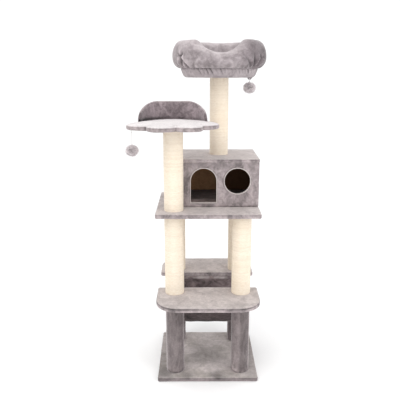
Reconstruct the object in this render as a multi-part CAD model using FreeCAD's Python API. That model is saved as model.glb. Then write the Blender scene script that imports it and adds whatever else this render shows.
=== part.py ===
import FreeCAD, Part
import math
import os

from FreeCAD import Vector

# Cat tree: a square base, four plush legs, two half-moon shelves with a hammock slung between
# them, four sisal posts, a square platform with a house that has an arched door and a round
# window, a scalloped seat with a curved backrest on one post, a round bed on another, and two
# pompoms that swing on strings.
#
# Millimetres. +Z is up, +X is right and -Y is the front. The origin is the middle of the base's
# underside, which is the face that the tree stands on.

# Driving dimensions ---------------------------------------------------------------------------

# Boards and the plush glued round them.
BOARD = 15.0
PLUSH = 3.0
SLAB = BOARD + 2 * PLUSH
SIDE = 480.0
CORNER = 8.0

# Posts: a cardboard tube with a wooden plug in each end, wound with sisal or covered in plush.
TUBE_RADIUS = 40.0
TUBE_WALL = 4.0
SISAL = 5.0
LEG_PLUSH = 4.0
PLUG_LENGTH = 30.0

# The four columns, on a rectangle that sits a little behind the middle of the base.
COLUMN_PITCH_X = 315.0
COLUMN_PITCH_Y = 324.0
COLUMN_SHIFT_Y = 6.0
LEG_LENGTH = 385.0
POST_LENGTH = 382.0
SEAT_POST_LENGTH = 374.0
BED_POST_LENGTH = 368.0

# Half-moon shelves: straight on the side that faces the hammock, round at the outer corners.
SHELF_CORNER = 108.0
FRONT_SHELF_Y = (-350.0, -97.0)
REAR_SHELF_Y = (107.0, 333.0)

# House.
HOUSE_LEFT = -124.0
HOUSE_FRONT = -99.0
HOUSE_HEIGHT = 227.0
WALL = 9.0
ROOF = 12.0
OPENING_RADIUS = 60.0
OPENING_HEIGHT = 124.0
DOOR_X = -20.0
DOOR_SILL = 22.0
WINDOW_X = 138.0
BINDING = 2.0
BINDING_LIP = 3.0
FLOOR_PAD = 18.0

# Scalloped seat, centred on its post.
SEAT_FRONT_LOBE = (58.0, -98.0, 65.0)
SEAT_END_LOBE = (125.0, 0.0, 82.5)
SEAT_HEEL = (0.0, -12.0, 177.0)
SEAT_CORE_X = 90.0
SEAT_CORE_BACK = 15.0
SEAT_PAD = 15.0
SEAT_PAD_INSET = 18.0
SEAT_TURN = 7.0
BACKREST_TURN = 3.0
BACKREST_RADIUS = 155.0
BACKREST_HEIGHT = 97.0
BACKREST_CORE = 4.0
BACKREST_CORE_SETBACK = 15.0
BACKREST_CORNER = 80.0
BACKREST_END_ANGLE = 3.0

# Round bed, centred on its post.
BED_X = 56.0
BED_Y = 75.0
BED_BOARD_RADIUS = 152.0
BAND_RADIUS = 183.0
BAND_HEIGHT = 41.0
BAND_WALL = 6.0
BAND_KNEE_RADIUS = 175.0
BAND_KNEE_HEIGHT = 14.0
BOLSTER_RADIUS = 172.5
BOLSTER_HALF_WIDTH = 50.0
BOLSTER_HEIGHT = 127.0
BOLSTER_DIP = 58.0
BOLSTER_DIP_HALF_WIDTH = 107.0
CUSHION_RADIUS = 118.0
CUSHION_TOP_RADIUS = 60.0
CUSHION_CROWN = 14.0
CUSHION_CLEARANCE = 2.0

# Hammock: a sling with a dowel in the sewn sleeve along each edge.
HAMMOCK_HALF_WIDTH = 160.0
HAMMOCK_CLOTH = 2.5
DOWEL_RADIUS = 5.0
DOWEL_FROM_EDGE = 7.0
DOWEL_PIN_X = 128.0
HAMMOCK_BOTTOM = 197.0

# Fasteners.
M8_RADIUS = 4.0
M8_GRIP = 28.0
BOLT_HEAD_RADIUS = 9.0
BOLT_HEAD = 3.0
WASHER_RADIUS = 12.0
WASHER = 1.5
SCREW_RADIUS = 2.0
SCREW_HEAD_RADIUS = 4.0
SCREW_HEAD = 2.5
SCREW_BITE = 22.0
PIN_SCREW_RADIUS = 1.5
PIN_SCREW_BITE = 12.0

# Toys: a pompom on a string, tied to a thread loop that hangs on a staple or a cloth tab.
STRING_RADIUS = 1.0
LOOP_RADIUS = 4.0
GAP = 0.3
POMPOM_RADIUS = 26.0
POMPOM_HALF_HEIGHT = 23.0
POMPOM_BELT = 20.0
STRING_IN_POMPOM = 29.0
LEFT_TOY = (-341.0, -171.0)
LEFT_POMPOM_Z = 1108.0
STAPLE_HALF_WIDTH = 6.0
STAPLE_DROP = 4.0
STAPLE_BITE = 12.0
RIGHT_TOY = (196.0, 18.0)
RIGHT_POMPOM_Z = 1378.0
TAB_WIDTH = 10.0
TAB_CLOTH = 2.0
TAB_DROP = 10.0
TAB_HOLE_RADIUS = 2.5

# Places worked out from them ------------------------------------------------------------------

HALF = SIDE / 2

BASE_TOP = SLAB
SHELF_BOTTOM = BASE_TOP + LEG_LENGTH
SHELF_TOP = SHELF_BOTTOM + SLAB
PLATFORM_BOTTOM = SHELF_TOP + POST_LENGTH
PLATFORM_TOP = PLATFORM_BOTTOM + SLAB
SEAT_BOTTOM = PLATFORM_TOP + SEAT_POST_LENGTH
SEAT_BOARD_TOP = SEAT_BOTTOM + PLUSH + BOARD
ROOF_TOP = PLATFORM_TOP + HOUSE_HEIGHT
WALL_TOP = ROOF_TOP - PLUSH - ROOF
BED_BOTTOM = ROOF_TOP + BED_POST_LENGTH
BED_BOARD_TOP = BED_BOTTOM + PLUSH + BOARD
BAND_TOP = BED_BOTTOM + BAND_HEIGHT

COLUMNS = {
    "front_left": (-COLUMN_PITCH_X / 2, COLUMN_SHIFT_Y - COLUMN_PITCH_Y / 2),
    "front_right": (COLUMN_PITCH_X / 2, COLUMN_SHIFT_Y - COLUMN_PITCH_Y / 2),
    "rear_left": (-COLUMN_PITCH_X / 2, COLUMN_SHIFT_Y + COLUMN_PITCH_Y / 2),
    "rear_right": (COLUMN_PITCH_X / 2, COLUMN_SHIFT_Y + COLUMN_PITCH_Y / 2),
}
SEAT_X, SEAT_Y = COLUMNS["front_left"]

HOUSE_RIGHT = HALF
HOUSE_BACK = HALF
OPENING_Z = PLATFORM_TOP + OPENING_HEIGHT
SILL_Z = PLATFORM_TOP + DOOR_SILL

HAMMOCK_DOWELS_Y = (FRONT_SHELF_Y[1] - DOWEL_FROM_EDGE, REAR_SHELF_Y[0] + DOWEL_FROM_EDGE)
SLEEVE_RADIUS = DOWEL_RADIUS + HAMMOCK_CLOTH
DOWEL_Z = SHELF_BOTTOM - SLEEVE_RADIUS


# Plain shapes ---------------------------------------------------------------------------------

def box(x0, x1, y0, y1, z0, z1):
    return Part.makeBox(x1 - x0, y1 - y0, z1 - z0, Vector(x0, y0, z0))


def disc(x, y, z0, z1, radius):
    return Part.makeCylinder(radius, z1 - z0, Vector(x, y, z0))


def pipe(x, y, z0, z1, outer, inner):
    return disc(x, y, z0, z1, outer).cut(disc(x, y, z0, z1, inner))


def prism(wire, z0, z1):
    """The closed flat wire, drawn at z = 0, as a solid from z0 to z1."""
    face = Part.Face(wire)
    face.translate(Vector(0, 0, z0))
    return face.extrude(Vector(0, 0, z1 - z0))


def arc(start, middle, end):
    return Part.Arc(Vector(*start), Vector(*middle), Vector(*end)).toShape()


def line(start, end):
    return Part.LineSegment(Vector(*start), Vector(*end)).toShape()


def rounded_square(inset, z0, z1):
    """The base's and the platform's outline, drawn in by inset."""
    half = HALF - inset
    solid = box(-half, half, -half, half, z0, z1)
    upright = [e for e in solid.Edges if abs(e.BoundBox.ZLength - (z1 - z0)) < 0.1]
    return solid.makeFillet(CORNER - inset, upright)


def half_moon(y_straight, y_round, inset, z0, z1):
    """A shelf: straight at y_straight, with two large round corners at y_round."""
    side = 1 if y_round > y_straight else -1
    straight = y_straight + side * inset
    outer = y_round - side * inset
    half = HALF - inset
    radius = SHELF_CORNER - inset
    turn = radius * (1 - math.sqrt(0.5))
    wire = Part.Wire([
        line((-half, straight, 0), (half, straight, 0)),
        line((half, straight, 0), (half, outer - side * radius, 0)),
        arc((half, outer - side * radius, 0), (half - turn, outer - side * turn, 0),
            (half - radius, outer, 0)),
        line((half - radius, outer, 0), (radius - half, outer, 0)),
        arc((radius - half, outer, 0), (turn - half, outer - side * turn, 0),
            (-half, outer - side * radius, 0)),
        line((-half, outer - side * radius, 0), (-half, straight, 0)),
    ])
    return prism(wire, z0, z1)


def covered(outline, z0):
    """A board and the plush all round it, from one outline function of (inset, z0, z1)."""
    board = outline(PLUSH, z0 + PLUSH, z0 + PLUSH + BOARD)
    cover = outline(0, z0, z0 + SLAB).cut(board)
    return board, cover


# Fasteners ------------------------------------------------------------------------------------

def bolt(x, y, z_head, up):
    """A flat-headed M8 bolt. z_head is the outer face of the head, and up is 1 or -1."""
    reach = BOARD + PLUSH + M8_GRIP
    axis = Vector(0, 0, up)
    head = Part.makeCylinder(BOLT_HEAD_RADIUS, BOLT_HEAD, Vector(x, y, z_head), axis)
    return head.fuse(Part.makeCylinder(M8_RADIUS, reach, Vector(x, y, z_head), axis)).removeSplitter()


def rod(x, y, z0, z1):
    return disc(x, y, z0 - M8_GRIP, z1 + M8_GRIP, M8_RADIUS)


def connector_bolts():
    """One bolt wherever a post ends at a board that no other post goes on from."""
    bolts = [bolt(x, y, PLUSH, 1) for x, y in COLUMNS.values()]
    ends = [COLUMNS[name] for name in ("front_right", "rear_left", "rear_right")]
    bolts += [bolt(x, y, PLATFORM_TOP - PLUSH, -1) for x, y in ends]
    bolts.append(bolt(SEAT_X, SEAT_Y, SEAT_BOARD_TOP, -1))
    bolts.append(bolt(BED_X, BED_Y, BED_BOARD_TOP, -1))
    bolts.append(bolt(BED_X, BED_Y, WALL_TOP, 1))
    return Part.makeCompound(bolts)


def base_washers():
    z0 = PLUSH + BOLT_HEAD
    return Part.makeCompound([pipe(x, y, z0, z0 + WASHER, WASHER_RADIUS, M8_RADIUS)
                              for x, y in COLUMNS.values()])


def connector_rods():
    """One rod wherever a post stands above another, through the board between them."""
    rods = [rod(x, y, SHELF_BOTTOM, SHELF_TOP) for x, y in COLUMNS.values()]
    rods.append(rod(SEAT_X, SEAT_Y, PLATFORM_BOTTOM, PLATFORM_TOP))
    return Part.makeCompound(rods)


def house_screws():
    """Wood screws up through the platform into the lower edges of the house's walls."""
    inner = PLUSH + WALL / 2
    front, back = HOUSE_FRONT + inner, HOUSE_BACK - inner
    left, right = HOUSE_LEFT + inner, HOUSE_RIGHT - inner
    middle_x = (DOOR_X + WINDOW_X) / 2
    middle_y = (front + back) / 2
    places = [(left + WALL, front), (middle_x, front), (right - WALL, front)]
    places += [(left + WALL, back), (middle_x, back), (right - WALL, back)]
    places += [(left, middle_y), (right, middle_y)]
    z0 = PLATFORM_BOTTOM + PLUSH
    screws = []
    for x, y in places:
        head = disc(x, y, z0, z0 + SCREW_HEAD, SCREW_HEAD_RADIUS)
        shank = disc(x, y, z0, PLATFORM_TOP + SCREW_BITE, SCREW_RADIUS)
        screws.append(head.fuse(shank).removeSplitter())
    return Part.makeCompound(screws)


def hammock_screws():
    """Three pins up through each dowel and the plush into its shelf."""
    return Part.makeCompound([
        disc(x, y, DOWEL_Z - DOWEL_RADIUS, SHELF_BOTTOM + PLUSH + PIN_SCREW_BITE, PIN_SCREW_RADIUS)
        for y in HAMMOCK_DOWELS_Y for x in (-DOWEL_PIN_X, 0, DOWEL_PIN_X)])


# Posts ----------------------------------------------------------------------------------------

def tube(x, y, z0, z1):
    return pipe(x, y, z0, z1, TUBE_RADIUS, TUBE_RADIUS - TUBE_WALL)


def wrap(x, y, z0, z1, thickness):
    return pipe(x, y, z0, z1, TUBE_RADIUS + thickness, TUBE_RADIUS)


def plugs(x, y, z0, z1):
    radius = TUBE_RADIUS - TUBE_WALL
    return [disc(x, y, z0, z0 + PLUG_LENGTH, radius), disc(x, y, z1 - PLUG_LENGTH, z1, radius)]


def posts():
    nodes = {}
    tiers = {
        "leg": (BASE_TOP, SHELF_BOTTOM, LEG_PLUSH, "cover"),
        "post": (SHELF_TOP, PLATFORM_BOTTOM, SISAL, "sisal"),
    }
    for tier, (z0, z1, thickness, finish) in tiers.items():
        for corner, (x, y) in COLUMNS.items():
            nodes[corner + "_" + tier + "_" + finish] = wrap(x, y, z0, z1, thickness)
        nodes[tier + "_tubes"] = Part.makeCompound(
            [tube(x, y, z0, z1) for x, y in COLUMNS.values()])
        nodes[tier + "_end_plugs"] = Part.makeCompound(
            [plug for x, y in COLUMNS.values() for plug in plugs(x, y, z0, z1)])
    upper = {
        "seat_post": (SEAT_X, SEAT_Y, PLATFORM_TOP, SEAT_BOTTOM),
        "bed_post": (BED_X, BED_Y, ROOF_TOP, BED_BOTTOM),
    }
    for name, (x, y, z0, z1) in upper.items():
        nodes[name + "_sisal"] = wrap(x, y, z0, z1, SISAL)
        nodes[name + "_tube"] = tube(x, y, z0, z1)
    nodes["upper_post_end_plugs"] = Part.makeCompound(
        [plug for place in upper.values() for plug in plugs(*place)])
    return nodes


# Boards ---------------------------------------------------------------------------------------

def boards():
    outlines = {
        "base": (rounded_square, 0),
        "front_shelf": (lambda *a: half_moon(FRONT_SHELF_Y[1], FRONT_SHELF_Y[0], *a), SHELF_BOTTOM),
        "rear_shelf": (lambda *a: half_moon(REAR_SHELF_Y[0], REAR_SHELF_Y[1], *a), SHELF_BOTTOM),
        "house_platform": (rounded_square, PLATFORM_BOTTOM),
    }
    nodes = {}
    for name, (outline, z0) in outlines.items():
        nodes[name + "_board"], nodes[name + "_cover"] = covered(outline, z0)
    access = [disc(x, y, 0, PLUSH + BOLT_HEAD, WASHER_RADIUS) for x, y in COLUMNS.values()]
    for name in ("base_board", "base_cover"):
        nodes[name] = nodes[name].cut(Part.makeCompound(access))
    return nodes


# House ----------------------------------------------------------------------------------------

def opening(x, radius, y0, y1, sill=None):
    """A round hole through the front wall, or an arched door down to sill, from y0 to y1."""
    hole = Part.makeCylinder(radius, y1 - y0, Vector(x, y0, OPENING_Z), Vector(0, 1, 0))
    if sill is None:
        return hole
    return hole.fuse(box(x - radius, x + radius, y0, y1, sill, OPENING_Z)).removeSplitter()


def binding(x, sill=None):
    """The cloth edging of an opening: a sleeve through the wall with a lip on the front."""
    y_lip = HOUSE_FRONT - BINDING
    y_back = HOUSE_FRONT + PLUSH + WALL
    inner, sleeve, lip = OPENING_RADIUS, OPENING_RADIUS + BINDING, OPENING_RADIUS + BINDING_LIP
    sleeve_sill = None if sill is None else sill - BINDING
    lip_sill = None if sill is None else sill - BINDING_LIP
    ring = opening(x, sleeve, HOUSE_FRONT, y_back, sleeve_sill)
    ring = ring.fuse(opening(x, lip, y_lip, HOUSE_FRONT, lip_sill))
    return ring.cut(opening(x, inner, y_lip - 1, y_back + 1, sill)).removeSplitter()


def house():
    left, right = HOUSE_LEFT + PLUSH, HOUSE_RIGHT - PLUSH
    front, back = HOUSE_FRONT + PLUSH, HOUSE_BACK - PLUSH
    z0, z1 = PLATFORM_TOP, WALL_TOP
    holes = opening(WINDOW_X, OPENING_RADIUS + BINDING, HOUSE_FRONT - 1, front + WALL + 1)
    holes = holes.fuse(opening(DOOR_X, OPENING_RADIUS + BINDING, HOUSE_FRONT - 1,
                               front + WALL + 1, SILL_Z - BINDING))
    walls = box(left, right, front, back, z0, z1)
    room = box(left + WALL, right - WALL, front + WALL, back - WALL, z0, z1)
    roof = box(left, right, front, back, z1, z1 + ROOF)
    return {
        "house_front_panel": box(left, right, front, front + WALL, z0, z1).cut(holes),
        "house_back_panel": box(left, right, back - WALL, back, z0, z1),
        "house_left_panel": box(left, left + WALL, front + WALL, back - WALL, z0, z1),
        "house_right_panel": box(right - WALL, right, front + WALL, back - WALL, z0, z1),
        "house_roof_panel": roof,
        "house_wall_cover": box(HOUSE_LEFT, HOUSE_RIGHT, HOUSE_FRONT, HOUSE_BACK, z0, z1)
        .cut(walls).cut(holes),
        "house_roof_cover": box(HOUSE_LEFT, HOUSE_RIGHT, HOUSE_FRONT, HOUSE_BACK, z1, ROOF_TOP)
        .cut(roof),
        "house_floor_pad": room.common(box(-SIDE, SIDE, -SIDE, SIDE, z0, z0 + FLOOR_PAD)),
        "door_binding": binding(DOOR_X, SILL_Z),
        "window_binding": binding(WINDOW_X),
    }


# Scalloped seat -------------------------------------------------------------------------------

def turned_on_post(shape, angle):
    """The shape turned anticlockwise about the seat's post, seen from above."""
    shape = shape.copy()
    shape.rotate(Vector(SEAT_X, SEAT_Y, 0), Vector(0, 0, 1), angle)
    return shape


def seat_slab(inset, z0, z1):
    """The scalloped outline, drawn in by inset: two lobes in front, one at each end, a wide heel."""
    lobes = [
        (side * x, y, radius)
        for x, y, radius in (SEAT_FRONT_LOBE, SEAT_END_LOBE) for side in (-1, 1)]
    slab = box(SEAT_X - SEAT_CORE_X, SEAT_X + SEAT_CORE_X,
               SEAT_Y + SEAT_FRONT_LOBE[1], SEAT_Y + SEAT_CORE_BACK, z0, z1)
    for x, y, radius in lobes:
        slab = slab.fuse(disc(SEAT_X + x, SEAT_Y + y, z0, z1, radius - inset))
    x, y, radius = SEAT_HEEL
    heel = disc(SEAT_X + x, SEAT_Y + y, z0, z1, radius - inset)
    heel = heel.common(box(SEAT_X - radius, SEAT_X + radius, SEAT_Y, SEAT_Y + radius, z0, z1))
    return turned_on_post(slab.fuse(heel).removeSplitter(), SEAT_TURN)


def backrest_band(inner, outer, z0, z1, corner):
    """Part of an upright ring round the back of the seat, its two top corners rounded."""
    profile = Part.makePolygon([
        Vector(SEAT_X + inner, SEAT_Y, z0), Vector(SEAT_X + outer, SEAT_Y, z0),
        Vector(SEAT_X + outer, SEAT_Y, z1), Vector(SEAT_X + inner, SEAT_Y, z1),
        Vector(SEAT_X + inner, SEAT_Y, z0)])
    face = Part.Face(profile)
    centre, up = Vector(SEAT_X, SEAT_Y, 0), Vector(0, 0, 1)
    face.rotate(centre, up, BACKREST_END_ANGLE)
    band = face.revolve(centre, up, 180 - 2 * BACKREST_END_ANGLE)
    limit = box(SEAT_X - outer - 1, SEAT_X + outer + 1, SEAT_Y - 1, SEAT_Y + outer + 1, z0, z1)
    top_edges = [e for e in limit.Edges
                 if e.BoundBox.YLength > outer and abs(e.BoundBox.ZMin - z1) < 0.1]
    return band.common(limit.makeFillet(corner, top_edges))


def seat():
    z0 = SEAT_BOTTOM
    board = seat_slab(PLUSH, z0 + PLUSH, SEAT_BOARD_TOP)
    pad = seat_slab(SEAT_PAD_INSET, SEAT_BOARD_TOP, SEAT_BOARD_TOP + SEAT_PAD)
    crown = seat_slab(SEAT_PAD_INSET - PLUSH, SEAT_BOARD_TOP, SEAT_BOARD_TOP + SEAT_PAD + PLUSH)
    outer, inner = BACKREST_RADIUS, BACKREST_RADIUS - BACKREST_CORE - 2 * PLUSH
    low, high = SEAT_BOARD_TOP, SEAT_BOARD_TOP + BACKREST_HEIGHT
    back = backrest_band(inner, outer, low, high, BACKREST_CORNER)
    core = backrest_band(inner + PLUSH, outer - PLUSH, low, high - PLUSH, BACKREST_CORNER - PLUSH)
    core = core.common(box(SEAT_X - outer, SEAT_X + outer, SEAT_Y + BACKREST_CORE_SETBACK,
                           SEAT_Y + outer, low, high))
    back, core = (turned_on_post(shape, BACKREST_TURN) for shape in (back, core))
    cover = seat_slab(0, z0, z0 + SLAB).fuse(crown).cut(board).cut(pad).cut(back)
    return {
        "seat_board": board,
        "seat_pad": pad.cut(back),
        "seat_cover": cover.removeSplitter(),
        "backrest_core": core,
        "backrest_cover": back.cut(core),
    }


# Round bed ------------------------------------------------------------------------------------

def turned(points):
    """A solid of revolution about the bed's axis. points are (radius, z)."""
    corners = [Vector(BED_X + r, BED_Y, z) for r, z in points]
    face = Part.Face(Part.makePolygon(corners + corners[:1]))
    return face.revolve(Vector(BED_X, BED_Y, 0), Vector(0, 0, 1), 360)


def bolster():
    """A thick soft ring, round above and below, whose top dips at the front."""
    middle = BED_X + BOLSTER_RADIUS
    inner, outer = middle - BOLSTER_HALF_WIDTH, middle + BOLSTER_HALF_WIDTH
    bottom, top = BAND_TOP, BAND_TOP + BOLSTER_HEIGHT
    low, high = bottom + BOLSTER_HALF_WIDTH, top - BOLSTER_HALF_WIDTH
    section = Part.Wire([
        arc((outer, BED_Y, high), (middle, BED_Y, top), (inner, BED_Y, high)),
        line((inner, BED_Y, high), (inner, BED_Y, low)),
        arc((inner, BED_Y, low), (middle, BED_Y, bottom), (outer, BED_Y, low)),
        line((outer, BED_Y, low), (outer, BED_Y, high)),
    ])
    ring = Part.Face(section).revolve(Vector(BED_X, BED_Y, 0), Vector(0, 0, 1), 360)
    scoop = (BOLSTER_DIP_HALF_WIDTH ** 2 + BOLSTER_DIP ** 2) / (2 * BOLSTER_DIP)
    z = top - BOLSTER_DIP + scoop
    reach = BOLSTER_RADIUS + BOLSTER_HALF_WIDTH + 1
    dip = Part.makeCylinder(scoop, reach, Vector(BED_X, BED_Y - reach, z), Vector(0, 1, 0))
    return ring.cut(dip)


def bed():
    z0, z1 = BED_BOTTOM, BAND_TOP
    board = disc(BED_X, BED_Y, z0 + PLUSH, BED_BOARD_TOP, BED_BOARD_RADIUS)
    band = turned([
        (0, z0), (BED_BOARD_RADIUS + BAND_WALL, z0), (BAND_KNEE_RADIUS, z0 + BAND_KNEE_HEIGHT),
        (BAND_RADIUS, z1), (BAND_RADIUS - BAND_WALL, z1), (BED_BOARD_RADIUS, BED_BOARD_TOP),
        (BED_BOARD_RADIUS, z0 + PLUSH), (0, z0 + PLUSH)])
    low, edge = BED_BOARD_TOP, BED_BOARD_RADIUS - CUSHION_CLEARANCE
    cushion = turned([
        (0, low), (edge, low), (edge, z1), (CUSHION_RADIUS, z1),
        (CUSHION_TOP_RADIUS, z1 + CUSHION_CROWN), (0, z1 + CUSHION_CROWN)])
    return {
        "bed_board": board,
        "bed_band": band,
        "bed_cushion": cushion,
        "bed_bolster": bolster(),
    }


# Hammock --------------------------------------------------------------------------------------

def catenary_scale(half_span, sag):
    """The a of z = a cosh(y / a) that sags by sag over half_span, by bisection."""
    flattest, halvings = 20, 60
    low, high = half_span / flattest, half_span * flattest
    for _ in range(halvings):
        a = (low + high) / 2
        if a * (math.cosh(half_span / a) - 1) > sag:
            low = a
        else:
            high = a
    return a


def hammock():
    """The sling: a sleeve round each dowel, and cloth that hangs between them in a catenary."""
    y_front, y_rear = HAMMOCK_DOWELS_Y
    half_cloth = HAMMOCK_CLOTH / 2
    middle = (y_front + y_rear) / 2
    half_span = (y_rear - y_front) / 2 - DOWEL_RADIUS - half_cloth
    lowest = HAMMOCK_BOTTOM + half_cloth
    a = catenary_scale(half_span, DOWEL_Z - lowest)
    steps = 24
    outer, inner = [], []
    for i in range(steps + 1):
        y = half_span * (2 * i / steps - 1)
        slope = math.sinh(y / a)
        z = lowest + a * (math.cosh(y / a) - 1)
        across = half_cloth / math.hypot(1, slope)
        outer.append(Vector(0, middle + y + slope * across, z - across))
        inner.append(Vector(0, middle + y - slope * across, z + across))
    profile = outer + inner[::-1]
    sheet = Part.Face(Part.makePolygon(profile + profile[:1]))
    x0, width = -HAMMOCK_HALF_WIDTH, 2 * HAMMOCK_HALF_WIDTH
    sheet.translate(Vector(x0, 0, 0))
    sling = sheet.extrude(Vector(width, 0, 0))
    dowels = []
    for y in HAMMOCK_DOWELS_Y:
        start = Vector(x0, y, DOWEL_Z)
        sling = sling.fuse(Part.makeCylinder(SLEEVE_RADIUS, width, start, Vector(1, 0, 0)))
        dowels.append(Part.makeCylinder(DOWEL_RADIUS, width, start, Vector(1, 0, 0)))
    for dowel in dowels:
        sling = sling.cut(dowel)
    return {
        "hammock": sling,
        "hammock_front_dowel": dowels[0],
        "hammock_rear_dowel": dowels[1],
    }


# Toys -----------------------------------------------------------------------------------------

def thread_loop(x, y, z_bar, half_bar):
    """A closed loop round a bar along X at z_bar. Returns the loop and the z of its lowest point."""
    inside = LOOP_RADIUS - STRING_RADIUS
    z = z_bar + half_bar + GAP - inside
    loop = Part.makeTorus(LOOP_RADIUS, STRING_RADIUS, Vector(x, y, z), Vector(1, 0, 0))
    return loop, z - LOOP_RADIUS - STRING_RADIUS


def ball(x, y, z):
    """A slightly flat ball: a belt of radius POMPOM_BELT between two wider, tangent caps."""
    belt_x = POMPOM_RADIUS - POMPOM_BELT
    rise = POMPOM_HALF_HEIGHT - POMPOM_BELT
    below = (belt_x ** 2 - rise ** 2) / (2 * rise)
    cap = POMPOM_HALF_HEIGHT + below
    reach = cap / math.hypot(belt_x, below)
    joint_x, joint_z = belt_x * reach, below * (reach - 1)
    half_turn = math.atan2(joint_x, joint_z + below) / 2
    cap_x, cap_z = cap * math.sin(half_turn), cap * math.cos(half_turn) - below
    section = Part.Wire([
        arc((x, y, z + POMPOM_HALF_HEIGHT), (x + cap_x, y, z + cap_z), (x + joint_x, y, z + joint_z)),
        arc((x + joint_x, y, z + joint_z), (x + POMPOM_RADIUS, y, z), (x + joint_x, y, z - joint_z)),
        arc((x + joint_x, y, z - joint_z), (x + cap_x, y, z - cap_z), (x, y, z - POMPOM_HALF_HEIGHT)),
        line((x, y, z - POMPOM_HALF_HEIGHT), (x, y, z + POMPOM_HALF_HEIGHT)),
    ])
    return Part.Face(section).revolve(Vector(x, y, 0), Vector(0, 0, 1), 360)


def string_and_pompom(x, y, z_top, z_pompom):
    """A plumb string and the pompom tied round its lower end."""
    z_end = z_pompom + POMPOM_HALF_HEIGHT - STRING_IN_POMPOM
    string = disc(x, y, z_end, z_top, STRING_RADIUS)
    return string, ball(x, y, z_pompom).cut(string)


def left_toy():
    x, y = LEFT_TOY
    z_bar = SEAT_BOTTOM - STAPLE_DROP
    z_leg = SEAT_BOTTOM + STAPLE_BITE
    staple = Part.makeCylinder(STRING_RADIUS, 2 * STAPLE_HALF_WIDTH,
                               Vector(x - STAPLE_HALF_WIDTH, y, z_bar), Vector(1, 0, 0))
    for side in (-1, 1):
        x_leg = x + side * STAPLE_HALF_WIDTH
        staple = staple.fuse(disc(x_leg, y, z_bar, z_leg, STRING_RADIUS))
        staple = staple.fuse(Part.makeSphere(STRING_RADIUS, Vector(x_leg, y, z_bar)))
    loop, z_loop = thread_loop(x, y, z_bar, STRING_RADIUS)
    string, pompom = string_and_pompom(x, y, z_loop - GAP, LEFT_POMPOM_Z)
    return {
        "left_toy_staple": staple.removeSplitter(),
        "left_toy_loop": loop,
        "left_toy_string": string,
        "left_pompom": pompom,
    }


def right_toy():
    x, y = RIGHT_TOY
    half_cloth = TAB_CLOTH / 2
    z_bottom = BED_BOTTOM - TAB_DROP
    tab = box(x - TAB_WIDTH / 2, x + TAB_WIDTH / 2, y - half_cloth, y + half_cloth,
              z_bottom, BED_BOTTOM)
    hole = Part.makeCylinder(TAB_HOLE_RADIUS, TAB_CLOTH + 2,
                             Vector(x, y - half_cloth - 1, z_bottom + TAB_CLOTH + TAB_HOLE_RADIUS),
                             Vector(0, 1, 0))
    half_diagonal = half_cloth * math.sqrt(2)
    loop, z_loop = thread_loop(x, y, z_bottom + half_cloth, half_diagonal)
    string, pompom = string_and_pompom(x, y, z_loop - GAP, RIGHT_POMPOM_Z)
    return {
        "right_toy_tab": tab.cut(hole),
        "right_toy_loop": loop,
        "right_toy_string": string,
        "right_pompom": pompom,
    }


# Assembly -------------------------------------------------------------------------------------

def build():
    fasteners = {
        "connector_bolts": connector_bolts(),
        "connector_rods": connector_rods(),
        "base_washers": base_washers(),
        "house_screws": house_screws(),
        "hammock_screws": hammock_screws(),
    }
    nodes = {}
    for section in (boards, posts, house, seat, bed, hammock, left_toy, right_toy):
        nodes.update(section())
    tools = [solid for shape in fasteners.values() for solid in shape.Solids]
    tools += nodes["left_toy_staple"].Solids
    for name, shape in nodes.items():
        if name.startswith(("left_toy", "right_toy", "left_pompom", "right_pompom")):
            continue
        near = [t for t in tools if t.BoundBox.intersect(shape.BoundBox)]
        if near:
            nodes[name] = shape.cut(near)
    nodes.update(fasteners)
    return nodes


def main():
    os.makedirs("parts", exist_ok=True)
    nodes = build()
    for name, shape in nodes.items():
        shape.exportStep("parts/" + name + ".step")
        print("%-26s %3d solid(s) %12.0f mm3 valid %s"
              % (name, len(shape.Solids), shape.Volume, shape.isValid()))
    print(len(nodes), "nodes")


main()
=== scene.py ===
"""Looks of the cat tree: plush, sisal, cloth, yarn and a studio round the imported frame. Metres."""

import math

import bpy
import numpy as np
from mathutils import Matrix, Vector
from mathutils.geometry import delaunay_2d_cdt


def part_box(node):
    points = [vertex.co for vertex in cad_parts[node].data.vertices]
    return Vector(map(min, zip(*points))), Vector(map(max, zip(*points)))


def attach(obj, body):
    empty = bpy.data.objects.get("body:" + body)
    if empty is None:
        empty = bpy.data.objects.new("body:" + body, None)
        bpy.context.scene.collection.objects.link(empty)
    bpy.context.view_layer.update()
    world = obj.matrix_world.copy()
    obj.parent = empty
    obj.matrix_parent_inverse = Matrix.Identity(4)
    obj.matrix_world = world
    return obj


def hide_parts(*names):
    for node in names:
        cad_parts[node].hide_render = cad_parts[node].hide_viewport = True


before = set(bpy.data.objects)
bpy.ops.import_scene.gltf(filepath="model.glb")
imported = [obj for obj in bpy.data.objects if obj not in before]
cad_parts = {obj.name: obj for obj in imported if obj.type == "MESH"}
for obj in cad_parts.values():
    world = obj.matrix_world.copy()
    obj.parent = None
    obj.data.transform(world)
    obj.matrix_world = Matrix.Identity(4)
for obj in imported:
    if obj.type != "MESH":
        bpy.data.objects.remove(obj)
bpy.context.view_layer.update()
MM = 0.001


def linked(name, data):
    """A new object in the scene."""
    thing = bpy.data.objects.new(name, data)
    bpy.context.scene.collection.objects.link(thing)
    return thing


# Camera and cords -----------------------------------------------------------------------------

LENS_MM, SENSOR_MM = 49.85, 36.0
CAMERA_PLACE = (-0.0501, -2.6336, 1.4577)
CAMERA_TILT, CAMERA_TURN = math.radians(76.824), math.radians(-0.303)


def add_camera():
    """Stands in front of the tree, a little above its seat, and looks a little down."""
    data = bpy.data.cameras.new("camera")
    data.lens = LENS_MM
    data.sensor_width = SENSOR_MM
    camera = linked("camera", data)
    camera.location = CAMERA_PLACE
    camera.rotation_euler = (CAMERA_TILT, 0, CAMERA_TURN)
    bpy.context.scene.camera = camera


add_camera()

STRING = 2 * MM
LEFT_TOY = (-0.341, -0.171)
RIGHT_TOY = (0.196, 0.018)


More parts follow.
